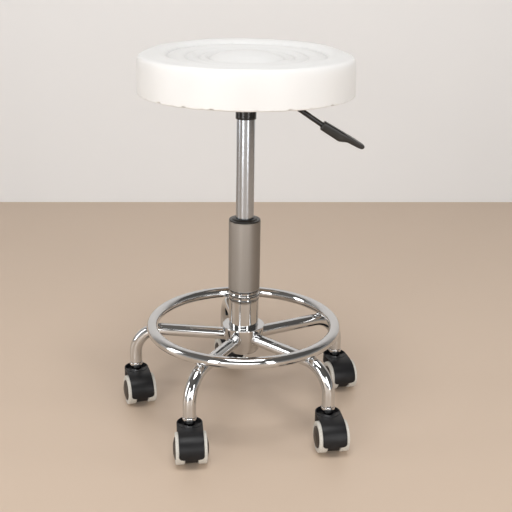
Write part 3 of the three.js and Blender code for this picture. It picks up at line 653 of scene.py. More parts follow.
class Finish(Enum):
    """The object's finishes, each named as its slot in the record."""

    CHROME = Chrome()
    STAND = StandTubeSteel()
    GROUND = GroundSteel()
    PLATED = PlatedSteel()
    POWDER = PowderCoat()
    PLASTIC = MouldedPlastic("black_plastic", (0.015, 0.014, 0.012), (0.045, 0.042, 0.037), 0.3,
                             Grain.SATIN)
    HOOD = MouldedPlastic("hood_plastic", (0.008, 0.008, 0.009), (0.018, 0.018, 0.019), 0.40,
                          Grain.SATIN, 1.36)
    CAP = MouldedPlastic("cap_plastic", (0.034, 0.025, 0.019), (0.07, 0.055, 0.043), 0.42,
                         Grain.FINE)
    TYRE = TyreUrethane()
    RUBBER = MouldedPlastic("rubber_black", (0.012, 0.012, 0.012), (0.03, 0.03, 0.03), 0.75,
                            Grain.COARSE)
    PLYWOOD = Plywood()
    VINYL = SeatVinyl()


@dataclass
class Wardrobe:
    """Makes each finish once and puts it on pieces and CAD nodes."""

    made: dict[Finish, bpy.types.Material] = field(default_factory=dict)

    def material(self, finish: Finish) -> bpy.types.Material:
        """The finish's material, made at its first use."""
        if finish not in self.made:
            self.made[finish] = finish.value.make()
        return self.made[finish]

    def dress(self, piece: Object, finish: Finish, body: str, *nodes: str) -> Object:
        """Gives a new piece its finish, the body it rides on and the CAD nodes it stands for.

        Args:
            piece: the new object.
            finish: its finish, whose name is its material slot.
            body: the CAD body that carries it.
            nodes: CAD nodes that it replaces.

        Returns:
            The piece.
        """
        piece.data.materials.append(self.material(finish))
        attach(piece, body)
        if nodes:
            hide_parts(*nodes)
        LOG.info("%s: %d points on %s", piece.name, len(piece.data.vertices), body)
        return piece

    def coat(self, finish: Finish, *nodes: str) -> None:
        """Gives CAD nodes that stay their finish."""
        for node in nodes:
            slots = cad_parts[node].data.materials
            slots.clear()
            slots.append(self.material(finish))
            LOG.info("%s: CAD node in %s", node, finish.value.name)


# ---------------------------------------------------------------- sub-assemblies
def column_foot() -> tuple[float, float, float]:
    """Where the column's axis meets the floor: the middle of the stand tube's box."""
    low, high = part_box("stand_tube")
    return ((low.x + high.x) / 2, (low.y + high.y) / 2, 0.0)


FOOT = column_foot()


def on_axis(angle: float = 0.0, reach: float = 0.0, turn: Optional[float] = None) -> Pose:
    """A pose at a distance from the column's axis.

    Args:
        angle: direction from the axis.
        reach: distance from the axis.
        turn: turn of the sub-assembly, the direction itself if left out.

    Returns:
        The pose.
    """
    move = (FOOT[0] + reach * math.cos(angle), FOOT[1] + reach * math.sin(angle), 0.0)
    return Pose(angle if turn is None else turn, move)


@dataclass
class Caster:
    """A twin-wheel caster; its wheels trail along -Y before the swivel's turn."""

    number: int
    leg_angle: float
    swivel: float
    reach: float = 0.181
    trail: float = 0.028
    axle_z: float = 0.024
    wheel_radius: float = 0.024
    tread: float = 0.0134
    tread_gap: float = 0.0196
    bore: float = 0.0168
    cap_dome: float = 0.0033
    axle_bore: float = 0.0033
    hood_radius: float = 0.0258
    hood_wall: float = 0.0011
    hood_half: float = 0.0185
    hood_corner: float = 0.006
    hood_crown: float = 0.0007
    fender_end: float = 195.5
    collar_radius: float = 0.0195
    collar_top: float = 0.0510
    collar_depth: float = 0.016
    dish_radius: float = 0.0174
    dish_depth: float = 0.0065
    web_radius: float = 0.022
    web_half: float = 0.0088
    stem_radius: float = 0.0055
    flange_radius: float = 0.0107
    roof_meets: float = 108.0
    flange_low: float = 0.0546
    flange_top: float = 0.0612

    @property
    def pose(self) -> Pose:
        """Place and turn of the caster."""
        return on_axis(self.leg_angle, self.reach, self.swivel)

    def _wheel_part(self, outline: Rows, side: int, segments: int, closed: bool) -> Skin:
        """Turns a part of the wheel about the axle, facing out on that side."""
        def lay(points: Array) -> Array:
            """(x, y, z) becomes (side z, side x, y) about the axle."""
            return np.stack([side * points[..., 2], side * points[..., 0] - self.trail,
                             points[..., 1] + self.axle_z], -1)
        return Skin(self.pose).lathe(outline, segments, closed, place=lay)

    def tyre(self, side: int, name: str) -> Object:
        """The tread ring of one wheel, with rounded shoulders and a moulded step on its face."""
        low, radius = self.tread_gap / 2, self.wheel_radius
        high = low + self.tread
        outline = [(self.bore, low), (radius - 0.0006, low, 0.0014), (radius, low + 0.003, 0.003),
                   (radius, high - 0.003, 0.003), (radius - 0.0005, high, 0.0018),
                   (radius - 0.0042, high, EDGE), (radius - 0.0048, high - 0.0005, EDGE),
                   (self.bore, high - 0.0005, EDGE)]
        piece = self._wheel_part(outline, side, 96, True).build(name)
        middle = self.pose(np.array([[0.0, -self.trail, self.axle_z]]))
        along = np.array([math.cos(self.swivel), math.sin(self.swivel), 0.0])
        offset = points_of(piece) - middle
        radial = np.linalg.norm(offset - (offset @ along)[:, None] * along, axis=1)
        paint(piece, "rolling", smoothstep(radial, radius - 0.0014, radius - 0.0001))
        return piece

    def cap(self, side: int, name: str) -> Object:
        """The wheel's core with its domed cap: a flat rim, a fine groove and a low dome."""
        low, axle, rim = self.tread_gap / 2, self.axle_bore, self.bore - 0.0003
        high = low + self.tread
        dome = high + self.cap_dome
        outline = [(0.0, dome - 0.005), (axle, dome - 0.005), (axle, low), (0.006, low, EDGE),
                   (0.0062, low + 0.001, EDGE), (rim - 0.003, low + 0.001, EDGE),
                   (rim - 0.0028, low, EDGE), (rim, low, EDGE), (rim, high + 0.0004, 0.0007),
                   (rim * 0.93, high + 0.0012, 0.0004), (rim * 0.87, high + 0.0013, EDGE),
                   (rim * 0.85, high + 0.0009, EDGE), (rim * 0.82, high + 0.0015, 0.001),
                   (rim * 0.5, dome - 0.0003, 0.006), (0.0, dome)]
        return self._wheel_part(outline, side, 72, False).build(name)

    def hood(self, name: str) -> Object:
        """The hood: a round collar, the fender over both wheels and the web between them."""
        top, radius, dish = self.collar_top, self.collar_radius, self.collar_top - self.dish_depth
        foot, hole, step, seat = top - self.collar_depth, 0.0058, 0.0095, dish + 0.0001
        skin = Skin(self.pose).lathe(
            [(0.0, foot), (radius, foot, 0.0006), (radius, top, 0.0008),
             (self.dish_radius + 0.0006, top, 0.0007), (self.dish_radius, dish, 0.0006),
             (step, dish), (step, seat), (hole, seat), (hole, top - 0.019), (0.0, top - 0.019)], 72)
        skin.grid(self._fender()).grid(self._roof())
        centre = (-self.trail, self.axle_z)
        web = np.vstack([[(radius - 0.002, dish - 0.0004), (-0.016, dish - 0.0012)],
                         arc(centre, self.hood_radius - self.hood_wall / 2, 90.0,
                             self.fender_end - 4.0, 30),
                         arc(centre, self.web_radius, self.fender_end, 350.0, 34),
                         [(radius - 0.002, foot + 0.0004)]])
        skin.grid(slab(web, -self.web_half, self.web_half, 0.0009, (1, 2, 0)))
        return skin.build(name, 40.0)

    def _fender(self) -> Array:
        """The fender: a rounded strip (v, q) carried round the axle by the angle a.

        A point is x = -q, y = v cos a - trail, z = v sin a + axle height. The strip's half width
        shrinks near its lower end as a quarter circle does, and its outside is crowned across.
        """
        turn = np.radians(np.linspace(50.0, self.fender_end, 72))[:, None]
        corner, wide, outer = self.hood_corner, self.hood_half, self.hood_radius
        left = np.clip(outer * (turn[-1] - turn), 0.0, corner)
        half = wide - corner + np.sqrt(corner**2 - (corner - left) ** 2)
        inner = outer - self.hood_wall
        middle = (inner + outer) / 2
        strip = rounded([(inner, -wide, EDGE), (outer, -wide, 0.0009), (outer, wide, 0.0009),
                         (inner, wide, EDGE)], 4, True)
        strip = densify(np.vstack([strip, strip[:1]]), 0.0035)[:-1]
        out, q = strip.T[:, None]
        across = np.sign(q) * np.maximum(np.abs(q) - (wide - half), 0.0)
        radial = out - self.hood_crown * (across / wide) ** 2 * (out > middle)
        tip = np.clip(left / 0.0012, 0.0, 1.0)
        radial = middle + (radial - middle) * np.sqrt(1 - (1 - tip) ** 2 * 0.75)
        return np.stack([-across, radial * np.cos(turn) - self.trail,
                         radial * np.sin(turn) + self.axle_z], -1)

    def _roof(self) -> Array:
        """The hood's skin between the collar's front rim and the fender's crest.

        With x = sin t across and s along, a point is the cubic from (r sin t, -r cos t) on the
        collar, which it leaves level, to (half * sin t) on the fender, along which it arrives.
        """
        s = np.linspace(0.0, 1.0, 16)[:, None, None]
        turn, meet = np.linspace(-np.pi / 2, np.pi / 2, 41), math.radians(self.roof_meets)
        radius, flat = self.collar_radius - 0.0002, 0 * turn
        start = np.stack([radius * np.sin(turn), -radius * np.cos(turn),
                          flat + self.collar_top - 0.0005], -1)
        end = np.stack([self.hood_half * np.sin(turn),
                        flat + self.hood_radius * math.cos(meet) - self.trail,
                        self.hood_radius * math.sin(meet) + self.axle_z + 0.00005
                        - self.hood_crown * np.sin(turn) ** 2], -1)
        length = (start - end)[:, 1:2]
        leave, arrive = np.array([0.0, -1.0, 0.0]), np.array([0.0, -math.sin(meet), math.cos(meet)])
        top = ((2 * s**3 - 3 * s**2 + 1) * start + (s**3 - 2 * s**2 + s) * length * leave
               + (3 * s**2 - 2 * s**3) * end + (s**3 - s**2) * length * arrive)
        under = top[:, ::-1] - np.array([0.0, 0.0, 0.001])
        return np.concatenate([top, under], 1)

    def stem(self, name: str) -> Object:
        """The chromed stem with its boss and its round flange."""
        low, top, wide = self.flange_low, self.flange_top, self.flange_radius
        thin, boss, foot = self.stem_radius, 0.0083, self.collar_top - 0.0185
        dish = self.collar_top - self.dish_depth + 0.0002
        return Skin(self.pose).lathe(
            [(0.0, foot), (thin, foot), (thin, dish), (boss, dish, EDGE), (boss, low, 0.0006),
             (wide, low, 0.0026), (wide, top, 0.0012), (thin, top, 0.0004),
             (thin, top + 0.022, 0.0005), (0.0, top + 0.022)], 64).build(name)

    def build(self, wardrobe: Wardrobe) -> None:
        """Builds and dresses every piece of the caster."""
        k = self.number
        wardrobe.dress(self.hood(f"hood_shell_{k}"), Finish.HOOD, f"caster_{k}", f"caster_hood_{k}")
        wardrobe.dress(self.stem(f"stem_flange_{k}"), Finish.CHROME, "base", f"caster_stem_{k}")
        wardrobe.coat(Finish.PLATED, f"caster_axle_{k}")
        for word, side in (("right", 1), ("left", -1)):
            wheel = f"wheel_{word}_{k}"
            wardrobe.dress(self.tyre(side, f"tread_{word}_{k}"), Finish.TYRE, wheel,
                           f"tyre_{word}_{k}")
            wardrobe.dress(self.cap(side, f"cap_{word}_{k}"), Finish.CAP, wheel, wheel)


@dataclass
class Base:
    """The welded base: cone hub, five bent legs, the foot ring and the weld beads."""

    leg_angles: tuple[float, ...]
    leg_radius: float = 0.010
    leg_reach: float = 0.181
    leg_bend: float = 0.045
    leg_z: float = 0.1225
    leg_end: float = 0.0615
    ring_radius: float = 0.1475
    ring_tube: float = 0.009
    ring_z: float = 0.1408
    hub_low: float = 0.1000
    hub_top: float = 0.1420
    hub_low_radius: float = 0.0257
    hub_radius: float = 0.034
    hub_rim: float = 0.003
    hub_bore: float = 0.0235
    bead: float = 0.0013
    ring_bead: tuple[float, float] = (0.0052, 0.0022)

    def _leg_path(self) -> Array:
        """Level run, quarter bend and drop in the (x, z) plane, as (n, 3) centres."""
        bend_x, bend_z = self.leg_reach - self.leg_bend, self.leg_z - self.leg_bend
        level = np.linspace(self.hub_bore + 0.0004, bend_x, 20)
        turn = np.linspace(0.0, np.pi / 2, 41)[1:]
        drop = np.linspace(bend_z, self.leg_end, 5)[1:]
        x = np.concatenate([level, bend_x + self.leg_bend * np.sin(turn),
                            np.full(len(drop), self.leg_reach)])
        z = np.concatenate([np.full(len(level), self.leg_z),
                            bend_z + self.leg_bend * np.cos(turn), drop])
        return np.stack([x, 0 * x, z], -1)

    def leg(self, angle: float, name: str) -> Object:
        """One leg with the weld bead that joins it to the hub and the one under the ring."""
        tube = carried(self._leg_path(), np.array([0.0, 1.0, 0.0]),
                       round_section(self.leg_radius, 40))
        skin = Skin(on_axis(angle)).grid(tube).grid(self._hub_bead(), End.JOIN, End.JOIN)
        return skin.grid(self._ring_bead()).build(name, 50.0)

    def _hub_bead(self) -> Array:
        """The weld round a leg, on the cone: a rippled ring of small circles.

        The ring's points are (sqrt(R(z)^2 - y^2), y, z) with y = r cos a and z = leg_z + r sin a,
        where R(z) is the cone's radius, and each circle stands across the ring.
        """
        a, b = circle(90)[:, None], circle(10)[None, :]
        y, z = self.leg_radius * np.cos(a), self.leg_z + self.leg_radius * np.sin(a)
        share = (z - self.hub_low) / (self.hub_top - self.hub_rim - self.hub_low)
        cone = self.hub_low_radius + (self.hub_radius - self.hub_low_radius) * share
        size = self.bead * (1 + 0.13 * np.sin(26 * a) + 0.08 * np.sin(7 * a))
        out = self.leg_radius + size * np.cos(b)
        return np.stack([np.sqrt(cone**2 - y**2) - size * np.sin(b), out * np.cos(a),
                         self.leg_z + out * np.sin(a)], -1)

    def _ring_bead(self) -> Array:
        """The weld between leg and ring: a flattened ball centred where they touch."""
        centre = np.array([self.leg_reach - self.leg_bend, self.leg_z - self.leg_bend])
        to_ring = unit(np.array([self.ring_radius, self.ring_z]) - centre)
        touch = centre + to_ring * (self.leg_bend + self.leg_radius)
        lat, lon = np.linspace(-np.pi / 2, np.pi / 2, 15)[1:-1, None], circle(28)[None, :]
        span, height = self.ring_bead
        ripple = span * np.cos(lat) * (1 + 0.06 * np.sin(5 * lon))
        wide, tall = ripple * np.cos(lon), height * np.sin(lat)
        return np.stack([touch[0] + wide * to_ring[1] + tall * to_ring[0], ripple * np.sin(lon),
                         touch[1] - wide * to_ring[0] + tall * to_ring[1]], -1)

    def ring(self, name: str) -> Object:
        """The foot ring: (R + r cos b)(cos a, sin a), z + r sin b."""
        section = round_section(self.ring_tube, 36) + np.array([self.ring_radius, self.ring_z])
        return Skin(on_axis()).grid(turned(section, 220), End.JOIN, End.JOIN).build(name, 60.0)

    def hub(self, name: str) -> Object:
        """The hub: a cone that widens to a flat rim, bored for the stand tube."""
        return Skin(on_axis()).lathe(
            [(self.hub_bore - 0.0003, self.hub_low), (self.hub_low_radius, self.hub_low, 0.001),
             (self.hub_radius, self.hub_top - self.hub_rim, 0.0012),
             (self.hub_radius, self.hub_top, 0.0016), (self.hub_bore + 0.0003, self.hub_top)],
            120, True).build(name)

    def build(self, wardrobe: Wardrobe) -> None:
        """Builds and dresses the base."""
        pieces = [(self.leg(angle, f"leg_tube_{k}"), f"leg_{k}")
                  for k, angle in enumerate(self.leg_angles, 1)]
        pieces += [(self.ring("ring_tube"), "foot_ring"), (self.hub("hub_cone"), "hub")]
        for piece, node in pieces:
            wardrobe.dress(piece, Finish.CHROME, "base", node)


@dataclass
class Column:
    """The gas spring: stand tube with rolled grooves, guide bush, cylinder and what is inside."""

    stand_radius: float = 0.025
    stand_wall: float = 0.0015
    foot_z: float = 0.0960
    foot_radius: float = 0.0226
    groove_low: float = 0.1890
    groove_span: float = 0.0145
    mouth_z: float = 0.3175
    rod_hole: float = 0.0053
    bush_bore: float = 0.0143
    bush_radius: float = 0.0232
    bush_low: float = 0.2375
    lip_radius: float = 0.0244
    cylinder_radius: float = 0.014
    cylinder_wall: float = 0.0016
    cylinder_low: float = 0.2470
    cylinder_top: float = 0.4954
    valve_bore: float = 0.0028

    def stand(self, name: str) -> Object:
        """The stand tube: tapered foot, two rolled grooves and an open mouth."""
        low, span = self.groove_low, self.groove_span
        radius, mouth = self.stand_radius, self.mouth_z
        foot, wall, inner, top = self.foot_z, self.stand_wall, self.foot_z + 0.004, low + span
        grooves = [(0.0244, 0.0, 0.004), (0.0240, 0.13, 0.0016), (0.0246, 0.30, 0.0025),
                   (0.0247, 0.55, 0.0025), (0.0233, 0.72, 0.0012), (0.0247, 0.90, 0.0018)]
        return Skin(on_axis()).lathe(
            [(self.rod_hole, foot), (self.foot_radius, foot, 0.001),
             *((r, low + share * span, edge) for r, share, edge in grooves),
             (radius, top, 0.003), (radius, mouth, 0.0005), (radius - wall, mouth, 0.0005),
             (radius - wall, top), (0.0219, low + 0.5 * span), (self.foot_radius - wall, inner),
             (self.rod_hole, inner)], 128, True, 7).build(name, 50.0)

    def bush(self, name: str) -> Object:
        """The guide bush: a long sleeve in the tube with a crowned lip on its mouth."""
        bore, radius, wide = self.bush_bore, self.bush_radius, self.lip_radius
        lip = self.mouth_z + 0.0003
        return Skin(on_axis()).lathe(
            [(bore, self.bush_low), (radius, self.bush_low, 0.001), (radius, lip),
             (wide, lip, EDGE), (wide, lip + 0.0017, 0.0006), (0.0212, lip + 0.0021, 0.0004),
             (0.0204, lip + 0.0016, EDGE), (0.0190, lip + 0.0034, 0.0009),
             (0.0160, lip + 0.0041, 0.0009), (bore, lip + 0.0036, EDGE)], 96, True).build(name)

    def cylinder(self, name: str) -> Object:
        """The cylinder: a ground tube with a rolled lower rim, its chamber and the pin's bore."""
        bore, radius = self.cylinder_radius - self.cylinder_wall, self.cylinder_radius
        low, top, valve, hole = self.cylinder_low, self.cylinder_top, self.valve_bore, self.rod_hole
        return Skin(on_axis()).lathe(
            [(0.0, top - 0.040), (bore, top - 0.040), (bore, low + 0.004), (hole, low + 0.004),
             (hole, low), (radius, low, 0.0025), (radius, top - 0.006, 0.002),
             (0.0132, top, 0.0005), (valve, top), (valve, top - 0.0122), (0.0, top - 0.0122)],
            128, steps=6).build(name)

    def build(self, wardrobe: Wardrobe) -> None:
        """Builds and dresses the column."""
        wardrobe.dress(self.stand("stand_outer"), Finish.STAND, "base", "stand_tube")
        wardrobe.dress(self.bush("bush_lip"), Finish.PLASTIC, "base", "top_bushing")
        wardrobe.dress(self.cylinder("cylinder_bar"), Finish.GROUND, "seat", "gas_cylinder")
        wardrobe.coat(Finish.GROUND, "piston_rod")
        wardrobe.coat(Finish.PLATED, "thrust_bearing", "retaining_clip", "valve_pin")
        wardrobe.coat(Finish.RUBBER, "bump_rubber")


@dataclass
class Mechanism:
    """Under the seat: pressed plate with a dished middle, socket, cheeks, lever and screws."""

    plate_half: float = 0.063
    plate_corner: float = 0.014
    plate_low: float = 0.5134
    plate_top: float = 0.5159
    plate_edge: float = 0.0007
    dish_radius: float = 0.040
    dish_depth: float = 0.0043
    socket_low: float = 0.4772
    socket_radius: float = 0.01575
    socket_wall: float = 0.00165
    slot_half: float = 0.0046
    slot_low: float = 0.4974
    cheek_gap: float = 0.0044
    cheek_wall: float = 0.003
    cheek_drop: float = 0.014
    cheek_half: float = 0.0075
    pivot_reach: float = 0.028
    pivot_bore: float = 0.0028
    eye_radius: float = 0.0049
    eye_half: float = 0.0041
    lever_z: float = 0.5047
    lever_radius: float = 0.004
    knee: float = 0.062
    slope: float = 33.6
    slope_length: float = 0.0645
    grip_slope: float = 31.0
    grip_length: float = 0.0735
    grip_twist: float = 4.0
    bolt_half: float = 0.046

    def plate(self, name: str) -> Object:
        """The plate with its dish: rings that change from a circle to a rounded square.

        Ring k is (1 - s) * circle of radius c + s * outline * c / half, at its own height.
        """
        half, edge, low, top = self.plate_half, self.plate_edge, self.plate_low, self.plate_top
        square = ((half, -half), (half, half), (-half, half), (-half, -half))
        outline = rounded([(x, y, self.plate_corner) for x, y in square], 10, True)
        outline = densify(np.vstack([outline, outline[:1]]), 0.004)[:-1]
        dish = [(0.0150, 1.0), (0.0200, 1.0), (0.0225, 0.97), (0.0270, 0.75), (0.0340, 0.25),
                (0.0370, 0.05)]
        rings = [(radius, 0.0, low - self.dish_depth * share) for radius, share in dish]
        rings += [(self.dish_radius, 0.0, low), (0.050, 0.5, low), (half - 0.0006, 1.0, low),
                  (half, 1.0, low + edge), (half, 1.0, top - edge), (half - 0.0006, 1.0, top),
                  (0.050, 0.5, top), (0.030, 0.0, top), (0.0150, 0.0, top)]
        size, square_share, height = (np.array(column)[:, None, None] for column in zip(*rings))
        flat = (1 - square_share) * unit(outline) * size + square_share * outline * size / half
        grid = np.concatenate([flat, height + 0 * flat[..., :1]], -1)
        skin = Skin(on_axis()).grid(grid, End.JOIN, End.JOIN)
        return skin.grid(self._cheek(-1)).grid(self._cheek(1)).build(name, 40.0)

    def _cheek(self, side: int) -> Array:
        """One lug for the lever's pivot: a plate with a rounded lower end."""
        low, top = self.plate_low - self.cheek_drop, self.plate_low + 0.0003
        left, right = self.pivot_reach - self.cheek_half, self.pivot_reach + self.cheek_half
        outline = rounded([(low, left, 0.005), (low, right, 0.005), (top, right), (top, left)],
                          7, True)
        faces = sorted((side * self.cheek_gap, side * (self.cheek_gap + self.cheek_wall)))
        return slab(outline, *faces, 0.0004, (2, 0, 1))

    def socket(self, name: str) -> Object:
        """The socket: a tube with a slot for the lever, thickened inwards."""
        edge, radius = math.asin(self.slot_half / self.socket_radius), self.socket_radius
        around = np.concatenate([np.linspace(-edge, edge, 7),
                                 np.linspace(edge, 2 * np.pi - edge, 75)[1:-1]])
        top = self.plate_low - self.dish_depth
        heights = np.concatenate([np.linspace(self.socket_low, self.slot_low, 8),
                                  np.linspace(self.slot_low, top, 8)[1:]])
        grid = np.stack(np.broadcast_arrays(radius * np.cos(around)[None],
                                            radius * np.sin(around)[None], heights[:, None]), -1)
        keep = np.ones((len(heights) - 1, len(around)), bool)
        keep[7:, :6] = False
        piece = Skin(on_axis()).grid(grid, End.OPEN, End.OPEN, keep=keep).build(name, 40.0)
        wall = piece.modifiers.new("wall", "SOLIDIFY")
        wall.thickness, wall.offset, wall.use_even_offset = self.socket_wall, -1.0, True
        edges = piece.modifiers.new("edges", "BEVEL")
        edges.width, edges.segments, edges.angle_limit = 0.0004, 2, math.radians(50.0)
        return piece

    def lever_corners(self) -> tuple[Array, Array, Array]:
        """The lever's knee and elbow, and the grip's direction, in the (x, z) plane."""
        down, grip = math.radians(self.slope), math.radians(self.grip_slope)
        knee = np.array([self.knee, self.lever_z])
        elbow = knee + self.slope_length * np.array([math.cos(down), -math.sin(down)])
        return knee, elbow, np.array([math.cos(grip), -math.sin(grip)])

    def lever(self, name: str) -> Object:
        """The bent rod, interrupted by the eye that turns on the pivot."""
        knee, elbow, along = self.lever_corners()
        z, reach, eye = self.lever_z, self.pivot_reach, self.pivot_bore
        clear = eye + 0.0002
        inner = np.array([(-0.003, z), (reach - clear, z)])
        bend = rounded([(reach + clear, z), (*knee, 0.012), (*elbow, 0.006),
                        elbow + 0.022 * along], 12)
        skin, section = Skin(on_axis()), round_section(self.lever_radius, 28)
        for line in (inner, densify(bend, 0.004)):
            path = np.insert(line, 1, 0.0, axis=1)
            skin.grid(carried(path, np.array([0.0, 1.0, 0.0]), section))

        def across(points: Array) -> Array:
            """(x, y, z) becomes (y, z, x), about the pivot's axis."""
            return points[..., [1, 2, 0]] + np.array([reach, 0.0, z])
        wide, half = self.eye_radius, self.eye_half
        skin.lathe([(eye, -half), (wide, -half, 0.0004), (wide, half, 0.0004), (eye, half)],
                   48, True, place=across)
        return skin.build(name, 45.0)

    def grip(self, name: str) -> Object:
        """The moulded grip: a squarish barrel that steps down underneath to a flat paddle.

        A section is (|cos a|^e sign, |sin a|^e sign) times half its thickness and width, raised
        by the station's offset; stations lie along the grip. The paddle's sections are turned a
        little about the grip's length, so that its flat top faces the sitter.
        """
        elbow, along = self.lever_corners()[1:]
        share, thick, wide, lift, square = np.array([
            # place, thickness, width, offset up, squareness
            (0.000, 0.0128, 0.0138, 0.0000, 0.60), (0.012, 0.0146, 0.0152, 0.0000, 0.46),
            (0.140, 0.0150, 0.0156, 0.0000, 0.42), (0.300, 0.0154, 0.0160, 0.0000, 0.40),
            (0.420, 0.0158, 0.0162, 0.0000, 0.40), (0.470, 0.0154, 0.0162, 0.0002, 0.38),
            (0.530, 0.0132, 0.0160, 0.0012, 0.36), (0.590, 0.0106, 0.0158, 0.0025, 0.34),
            (0.635, 0.0094, 0.0156, 0.0031, 0.32), (0.760, 0.0088, 0.0152, 0.0034, 0.32),
            (0.880, 0.0080, 0.0144, 0.0037, 0.36), (0.950, 0.0072, 0.0128, 0.0040, 0.46),
            (0.985, 0.0054, 0.0098, 0.0042, 0.62), (1.000, 0.0026, 0.0052, 0.0043, 0.92),
        ]).T
        fine = np.linspace(0.0, 1.0, 90)[:, None]
        thick, wide, lift, square = (np.interp(fine, share, values)
                                     for values in (thick, wide, lift, square))
        angle = circle(48)[None, :]
        up, side = (np.sign(part) * np.abs(part) ** square * size / 2
                    for part, size in ((np.cos(angle), thick), (np.sin(angle), wide)))
        twist = math.radians(self.grip_twist) * smoothstep(fine, 0.42, 0.62)
        up, side = (up * np.cos(twist) - side * np.sin(twist) + lift,
                    up * np.sin(twist) + side * np.cos(twist))
        place = elbow[None] + fine * self.grip_length * along[None]
        grid = np.stack([place[:, :1] - up * along[1], -side, place[:, 1:] + up * along[0]], -1)
        return Skin(on_axis()).grid(grid).build(name, 40.0)

    def screw(self, x: float, y: float, name: str) -> Object:
        """A washer-faced hexagon screw: washer, chamfered head and shank."""
        head, washer, shank = self.plate_low - 0.0003, 0.0055, 0.0030
        skin = Skin(Pose(math.radians(17.0 + 900.0 * x), (FOOT[0] + x, FOOT[1] + y, 0.0)))
        skin.lathe([(0.0, head - 0.0009), (washer, head - 0.0009, EDGE), (washer, head, 0.0002),
                    (shank, head), (shank, head + 0.012), (0.0, head + 0.012)], 40)
        low, hexagon = head - 0.0037, circle(6)[None, :]
        size, height = np.array([(0.0040, low), (0.0045, low + 0.0005), (0.0045, head - 0.0008)]
                                ).T[..., None]
        skin.grid(np.stack(np.broadcast_arrays(size * np.cos(hexagon), size * np.sin(hexagon),
                                               height), -1))
        return skin.build(name, 20.0)

    def build(self, wardrobe: Wardrobe) -> None:
        """Builds and dresses the mechanism."""
        wardrobe.dress(self.plate("seat_plate"), Finish.POWDER, "seat", "seat_mechanism")
        wardrobe.dress(self.socket("seat_socket"), Finish.POWDER, "seat")
        wardrobe.dress(self.lever("lever_bar"), Finish.POWDER, "lever", "lever_rod")
        wardrobe.dress(self.grip("grip_handle"), Finish.PLASTIC, "lever", "lever_grip")
        wardrobe.coat(Finish.PLATED, "lever_pivot")
        for k, (x, y) in enumerate(((1, 1), (-1, 1), (-1, -1), (1, -1)), 1):
            wardrobe.dress(self.screw(x * self.bolt_half, y * self.bolt_half, f"hex_screw_{k}"),
                           Finish.PLATED, "seat", f"plate_screw_{k}")


def smooth_line(points: Array, count: int) -> Array:
    """A smooth curve through points, evenly spaced along its length.

    Between p1 and p2 it is the cubic whose slopes at the two are (p2 - p0)/2 and (p3 - p1)/2.

    Args:
        points: (n, 2) points.
        count: number of points to return.

    Returns:
        (count, 2) points.
    """
    padded = np.vstack([2 * points[0] - points[1], points, 2 * points[-1] - points[-2]])
    p0, p1, p2, p3 = (padded[i:len(padded) - 3 + i, None] for i in range(4))
    t = np.linspace(0.0, 1.0, 24, endpoint=False)[None, :, None]
    curve = 0.5 * (2 * p1 + (p2 - p0) * t + (2 * p0 - 5 * p1 + 4 * p2 - p3) * t**2
                   + (3 * p1 - p0 - 3 * p2 + p3) * t**3)
    curve = np.vstack([curve.reshape(-1, 2), points[-1:]])
    run = np.concatenate([[0.0], np.cumsum(np.linalg.norm(np.diff(curve, axis=0), axis=1))])
    even = np.linspace(0.0, run[-1], count)
    return np.stack([np.interp(even, run, curve[:, i]) for i in (0, 1)], -1)


def doubled(grid: Array) -> Array:
    """A grid with a new row and column between each two.

    A new point is (9 (p1 + p2) - (p0 + p3)) / 16 of its two neighbours either side; columns close
    on themselves and the first and last rows stay.
    """
    p0, p2, p3 = (np.roll(grid, shift, 1) for shift in (1, -1, -2))
    wide = np.stack([grid, (9 * (grid + p2) - (p0 + p3)) / 16], 2)
    wide = wide.reshape(grid.shape[0], -1, grid.shape[2])
    rows = np.concatenate([2 * wide[:1] - wide[1:2], wide, 2 * wide[-1:] - wide[-2:-1]])
    middle = (9 * (rows[1:-2] + rows[2:-1]) - (rows[:-3] + rows[3:])) / 16
    tall = np.empty((2 * len(wide) - 1,) + wide.shape[1:])
    tall[::2], tall[1::2] = wide, middle
    return tall


def outward(grid: Array) -> Array:
    """Unit normals of a grid: the cross product of its slopes along rows and columns."""
    around = np.roll(grid, -1, 1) - np.roll(grid, 1, 1)
    return unit(np.cross(around, np.gradient(grid, axis=0)))


